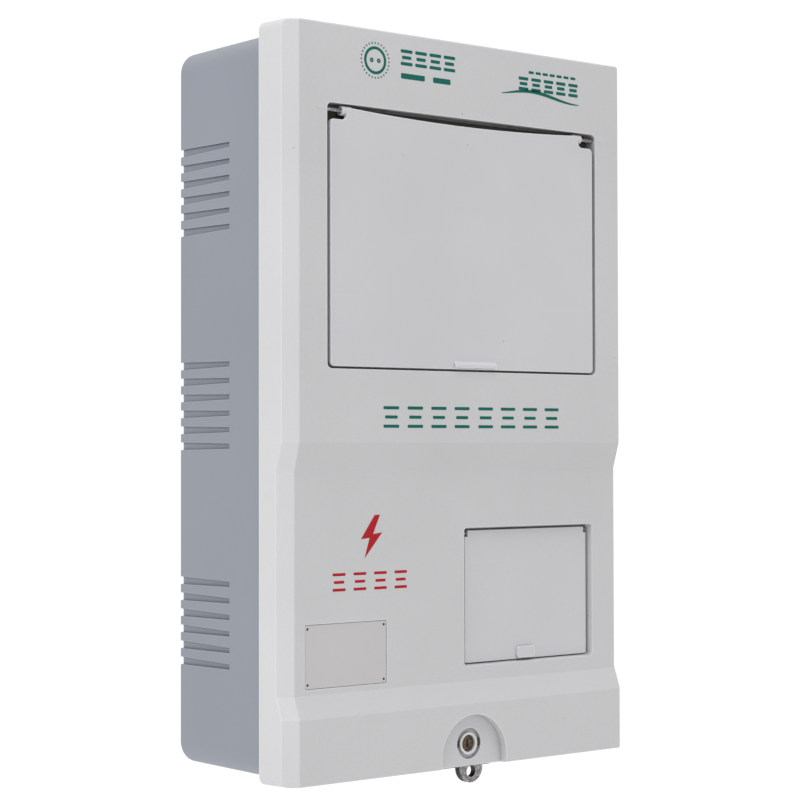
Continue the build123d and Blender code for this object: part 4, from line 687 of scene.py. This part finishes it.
place_mesh("caption_dashes", build_dashes, GREEN_INK, "cover")
place_mesh("flash_print", build_flash, RED_INK, "cover")

# %% [markdown]
# ## Painted shade beside the lock
# Two black blocks are painted shade: they stand for the dark slots at three and nine o'clock in the lock's
# well. Each is a small block with softened edges. A bevel modifier rounds them, because rounding them by
# hand would take longer than it shows.

# %% Painted slot shade
LOCK_X = (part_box("lock_core")[0].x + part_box("lock_core")[1].x) / 2 / MM
LOCK_Z = -188.0
SLOT_SHADE_NEAR, SLOT_SHADE_FAR, SLOT_SHADE_HALF_HEIGHT = 6.25, 8.35, 1.8
WELL_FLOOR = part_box("lock_sleeve")[0].y / MM + 2.0


def build_slot_shade(work):
    for side in (-1, 1):
        left, right = sorted((LOCK_X + side * SLOT_SHADE_NEAR, LOCK_X + side * SLOT_SHADE_FAR))
        low, high = LOCK_Z - SLOT_SHADE_HALF_HEIGHT, LOCK_Z + SLOT_SHADE_HALF_HEIGHT
        outline = [(left, low), (right, low), (right, high), (left, high)]
        add_plate(work, outline, WELL_FLOOR + 0.6, 2.0)


# Black blocks that paint the shade of the lock's two slots.
slot_shade = place_mesh("lock_slot_shade", build_slot_shade, BLACK_INK, "cover")
soften = slot_shade.modifiers.new("soften", "BEVEL")
soften.width, soften.segments = 0.0002, 2
print("lock slot shade added")

# %% [markdown]
# ## Painted shade in the top gap
# A dark brown strip stands for the shade in the gap where the window flap's top edge dips. It lies on the
# floor of the recess and is what shows through the gap. It is a long soft bar, so its section is a rounded
# hump swept from end to end.

# %% Painted shade strip in the top gap
GAP_SHADE_SWELLS_BEFORE_Y = -98


def build_gap_shade(work):
    section = [(-97.05, 147.4), (-98.4, 147.8), (-99.0, 149.6), (-99.1, 152.4),
               (-98.9, 155.0), (-98.2, 156.8), (-97.05, 157.3)]
    stations = [-96.0 + 192.0 * i / 48 for i in range(49)]
    rows = []
    for k, x in enumerate(stations):
        swell = 0.25 * math.sin(k * 1.7) * math.sin(k * 0.31)
        hump = [(y - swell if y < GAP_SHADE_SWELLS_BEFORE_Y else y, z) for y, z in section]
        rows.append([work.verts.new((x * MM, y * MM, z * MM)) for y, z in hump])
    for one, two in zip(rows, rows[1:]):
        for i in range(len(section)):
            j = (i + 1) % len(section)
            work.faces.new((one[i], one[j], two[j], two[i]))
    work.faces.new(rows[0])
    work.faces.new(rows[-1][::-1])


# A dark strip that paints the shade in the top gap.
place_mesh("gap_shade_strip", build_gap_shade, GAP_SHADE, "cover")
print("gap shade strip added")

# %% [markdown]
# ## Meter face
# Behind the window the meter shows a register. Seven-segment digits are generic numbers, and each segment
# is a small six-sided plate just in front of the display's glass. A darker printed panel frames the
# display.

# %% Register digits
SEGMENTS = {"0": "abcdef", "1": "bc", "2": "abged", "4": "fgbc", "6": "afgedc", "7": "abc"}
LCD_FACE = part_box("meter_lcd")[0].y / MM
DIGIT_W, DIGIT_H, STROKE = 4.6, 9.4, 1.0


def segment_outline(x, z, width, height):
    """A bar with pointed ends, level if it is wider than it is tall."""
    w, h = width / 2, height / 2
    tip = min(w, h)
    if width > height:
        return [(x - w, z), (x - w + tip, z + h), (x + w - tip, z + h),
                (x + w, z), (x + w - tip, z - h), (x - w + tip, z - h)]
    return [(x, z + h), (x + w, z + h - tip), (x + w, z - h + tip),
            (x, z - h), (x - w, z - h + tip), (x - w, z + h - tip)]


def build_register(work):
    places = {"a": (0, 1, 1), "g": (0, 0, 1), "d": (0, -1, 1), "f": (-1, 0.5, 0), "b": (1, 0.5, 0),
              "e": (-1, -0.5, 0), "c": (1, -0.5, 0)}
    for index, digit in enumerate("0042716"):
        middle = -22.5 + index * 7.4 + (1.4 if index == 6 else 0)
        for key in SEGMENTS[digit]:
            across, up, level = places[key]
            spot = (middle + across * DIGIT_W / 2, 119.0 + up * DIGIT_H / 2)
            size = (DIGIT_W - 0.4, STROKE) if level else (STROKE, DIGIT_H / 2 - 0.4)
            add_plate(work, segment_outline(*spot, *size), LCD_FACE, 0.04)
    add_plate(work, rounded_bar(18.6, 113.9, 1.2, 1.2), LCD_FACE, 0.04)
    for i in range(5):
        add_plate(work, rounded_bar(-27.0 + i * 6.0, 130.6, 3.6, 1.2), LCD_FACE, 0.04)
    for i in range(3):
        add_plate(work, segment_outline(16.0 + i * 5.0, 130.6, 1.1, 2.8), LCD_FACE, 0.04)


place_mesh("register_digits", build_register, BLACK_INK, "case")

# %% [markdown]
# The meter's face has a printed frame, two small arrows for the buttons, two rings and three lines in place
# of words. An image would carry lettering, so these are the same thin plates as the marks on the cover.

# %% Meter panel print
METER_FACE_Y = -80.0


def build_panel(work):
    for low, high in ((140.2, 141.0), (97.0, 97.8)):
        add_plate(work, rounded_bar(0, (low + high) / 2, 78.0, 0.8), METER_FACE_Y, INK)
    for x in (-38.6, 38.6):
        add_plate(work, rounded_bar(x, 119.0, 0.8, 44.0), METER_FACE_Y, INK)
    for x, z in ((44.0, 134.6), (44.0, 103.4)):
        up = 1 if z > 120 else -1
        arrow = [(x - 1.6, z - up * 0.9), (x + 1.6, z - up * 0.9), (x, z + up * 1.4)]
        add_plate(work, arrow[::up], METER_FACE_Y, INK)
    for x in (30.0, 40.0):
        add_ring(work, x, 84.0, 2.6, 3.1, METER_FACE_Y, INK, 32)
    for i, width in enumerate((30.0, 22.0, 26.0)):
        add_plate(work, rounded_bar(5.0 + width / 2, 70.0 - i * 6.0, width, 1.0), METER_FACE_Y, INK)


place_mesh("meter_panel_print", build_panel, BLACK_INK, "case")
print("meter face done")

# %% [markdown]
# ## Breaker marks
# The two-pole breaker gets its plain on and off strokes and a green flag window on each pole.

# %% Breaker marks
BREAKER_FRONT_Y = -92.0
POLE_XS = (40.0, 58.0)


def build_breaker_marks(work):
    for x in POLE_XS:
        add_plate(work, rounded_bar(x, -90.0, 0.7, 3.0), BREAKER_FRONT_Y, INK)
        add_ring(work, x, -124.0, 1.1, 1.7, BREAKER_FRONT_Y, INK, 32)
    add_plate(work, rounded_bar(49.0, -87.0, 26.0, 0.6), BREAKER_FRONT_Y, INK)


def build_flags(work):
    for x in POLE_XS:
        add_plate(work, rounded_bar(x, -119.0, 5.0, 2.6, 0.5), BREAKER_FRONT_Y, INK)


place_mesh("breaker_marks", build_breaker_marks, BLACK_INK, "case")
place_mesh("breaker_flags", build_flags, GREEN_INK, "case")
print("breaker marks added")

# %% [markdown]
# Each end of a stranded wire wears a crimped sleeve with a flared collar. It is a turned shape, so its
# profile is swept round the wire's own line. A screw modifier could turn it, but a loop keeps all four in
# one mesh.

# %% Ferrules on the link wires
WIRE_Y, FERRULE_STEPS = -57.0, 28


def build_ferrules(work):
    """Flared sleeves where each link wire enters its terminal: turned profiles about the wire's own line."""
    profile = [(2.55, 0.0), (3.3, 0.0), (3.3, 0.6), (2.95, 1.6), (2.9, 7.0), (2.62, 7.4), (2.55, 7.4)]
    for x, z, way in ((40.0, -65.8, 1), (58.0, -65.8, 1), (-11.0, -2.2, -1), (33.0, -2.2, -1)):
        loops = []
        for radius, along in profile:
            turn = [2 * math.pi * i / FERRULE_STEPS for i in range(FERRULE_STEPS)]
            ring = [(x + radius * math.cos(a), WIRE_Y + radius * math.sin(a), z + way * along) for a in turn]
            loops.append([work.verts.new((u * MM, v * MM, w * MM)) for u, v, w in ring])
        for k in range(len(loops)):
            one, two = loops[k], loops[(k + 1) % len(loops)]
            for i in range(FERRULE_STEPS):
                j = (i + 1) % FERRULE_STEPS
                work.faces.new((one[i], one[j], two[j], two[i]))


place_mesh("wire_ferrules", build_ferrules, WHITE_INK, "case")
print("small fittings done")

# %% [markdown]
# The shade strip and the ferrules are round, and show their facets. More steps would hide them, but smooth
# shading does it for nothing.

# %% Smooth shading on round pieces
for piece_name in ("gap_shade_strip", "wire_ferrules"):
    for face in bpy.data.objects[piece_name].data.polygons:
        face.use_smooth = True
print("smoothed gap shade strip and ferrules")

# %% [markdown]
# ## Finish

# %% Finish
import json
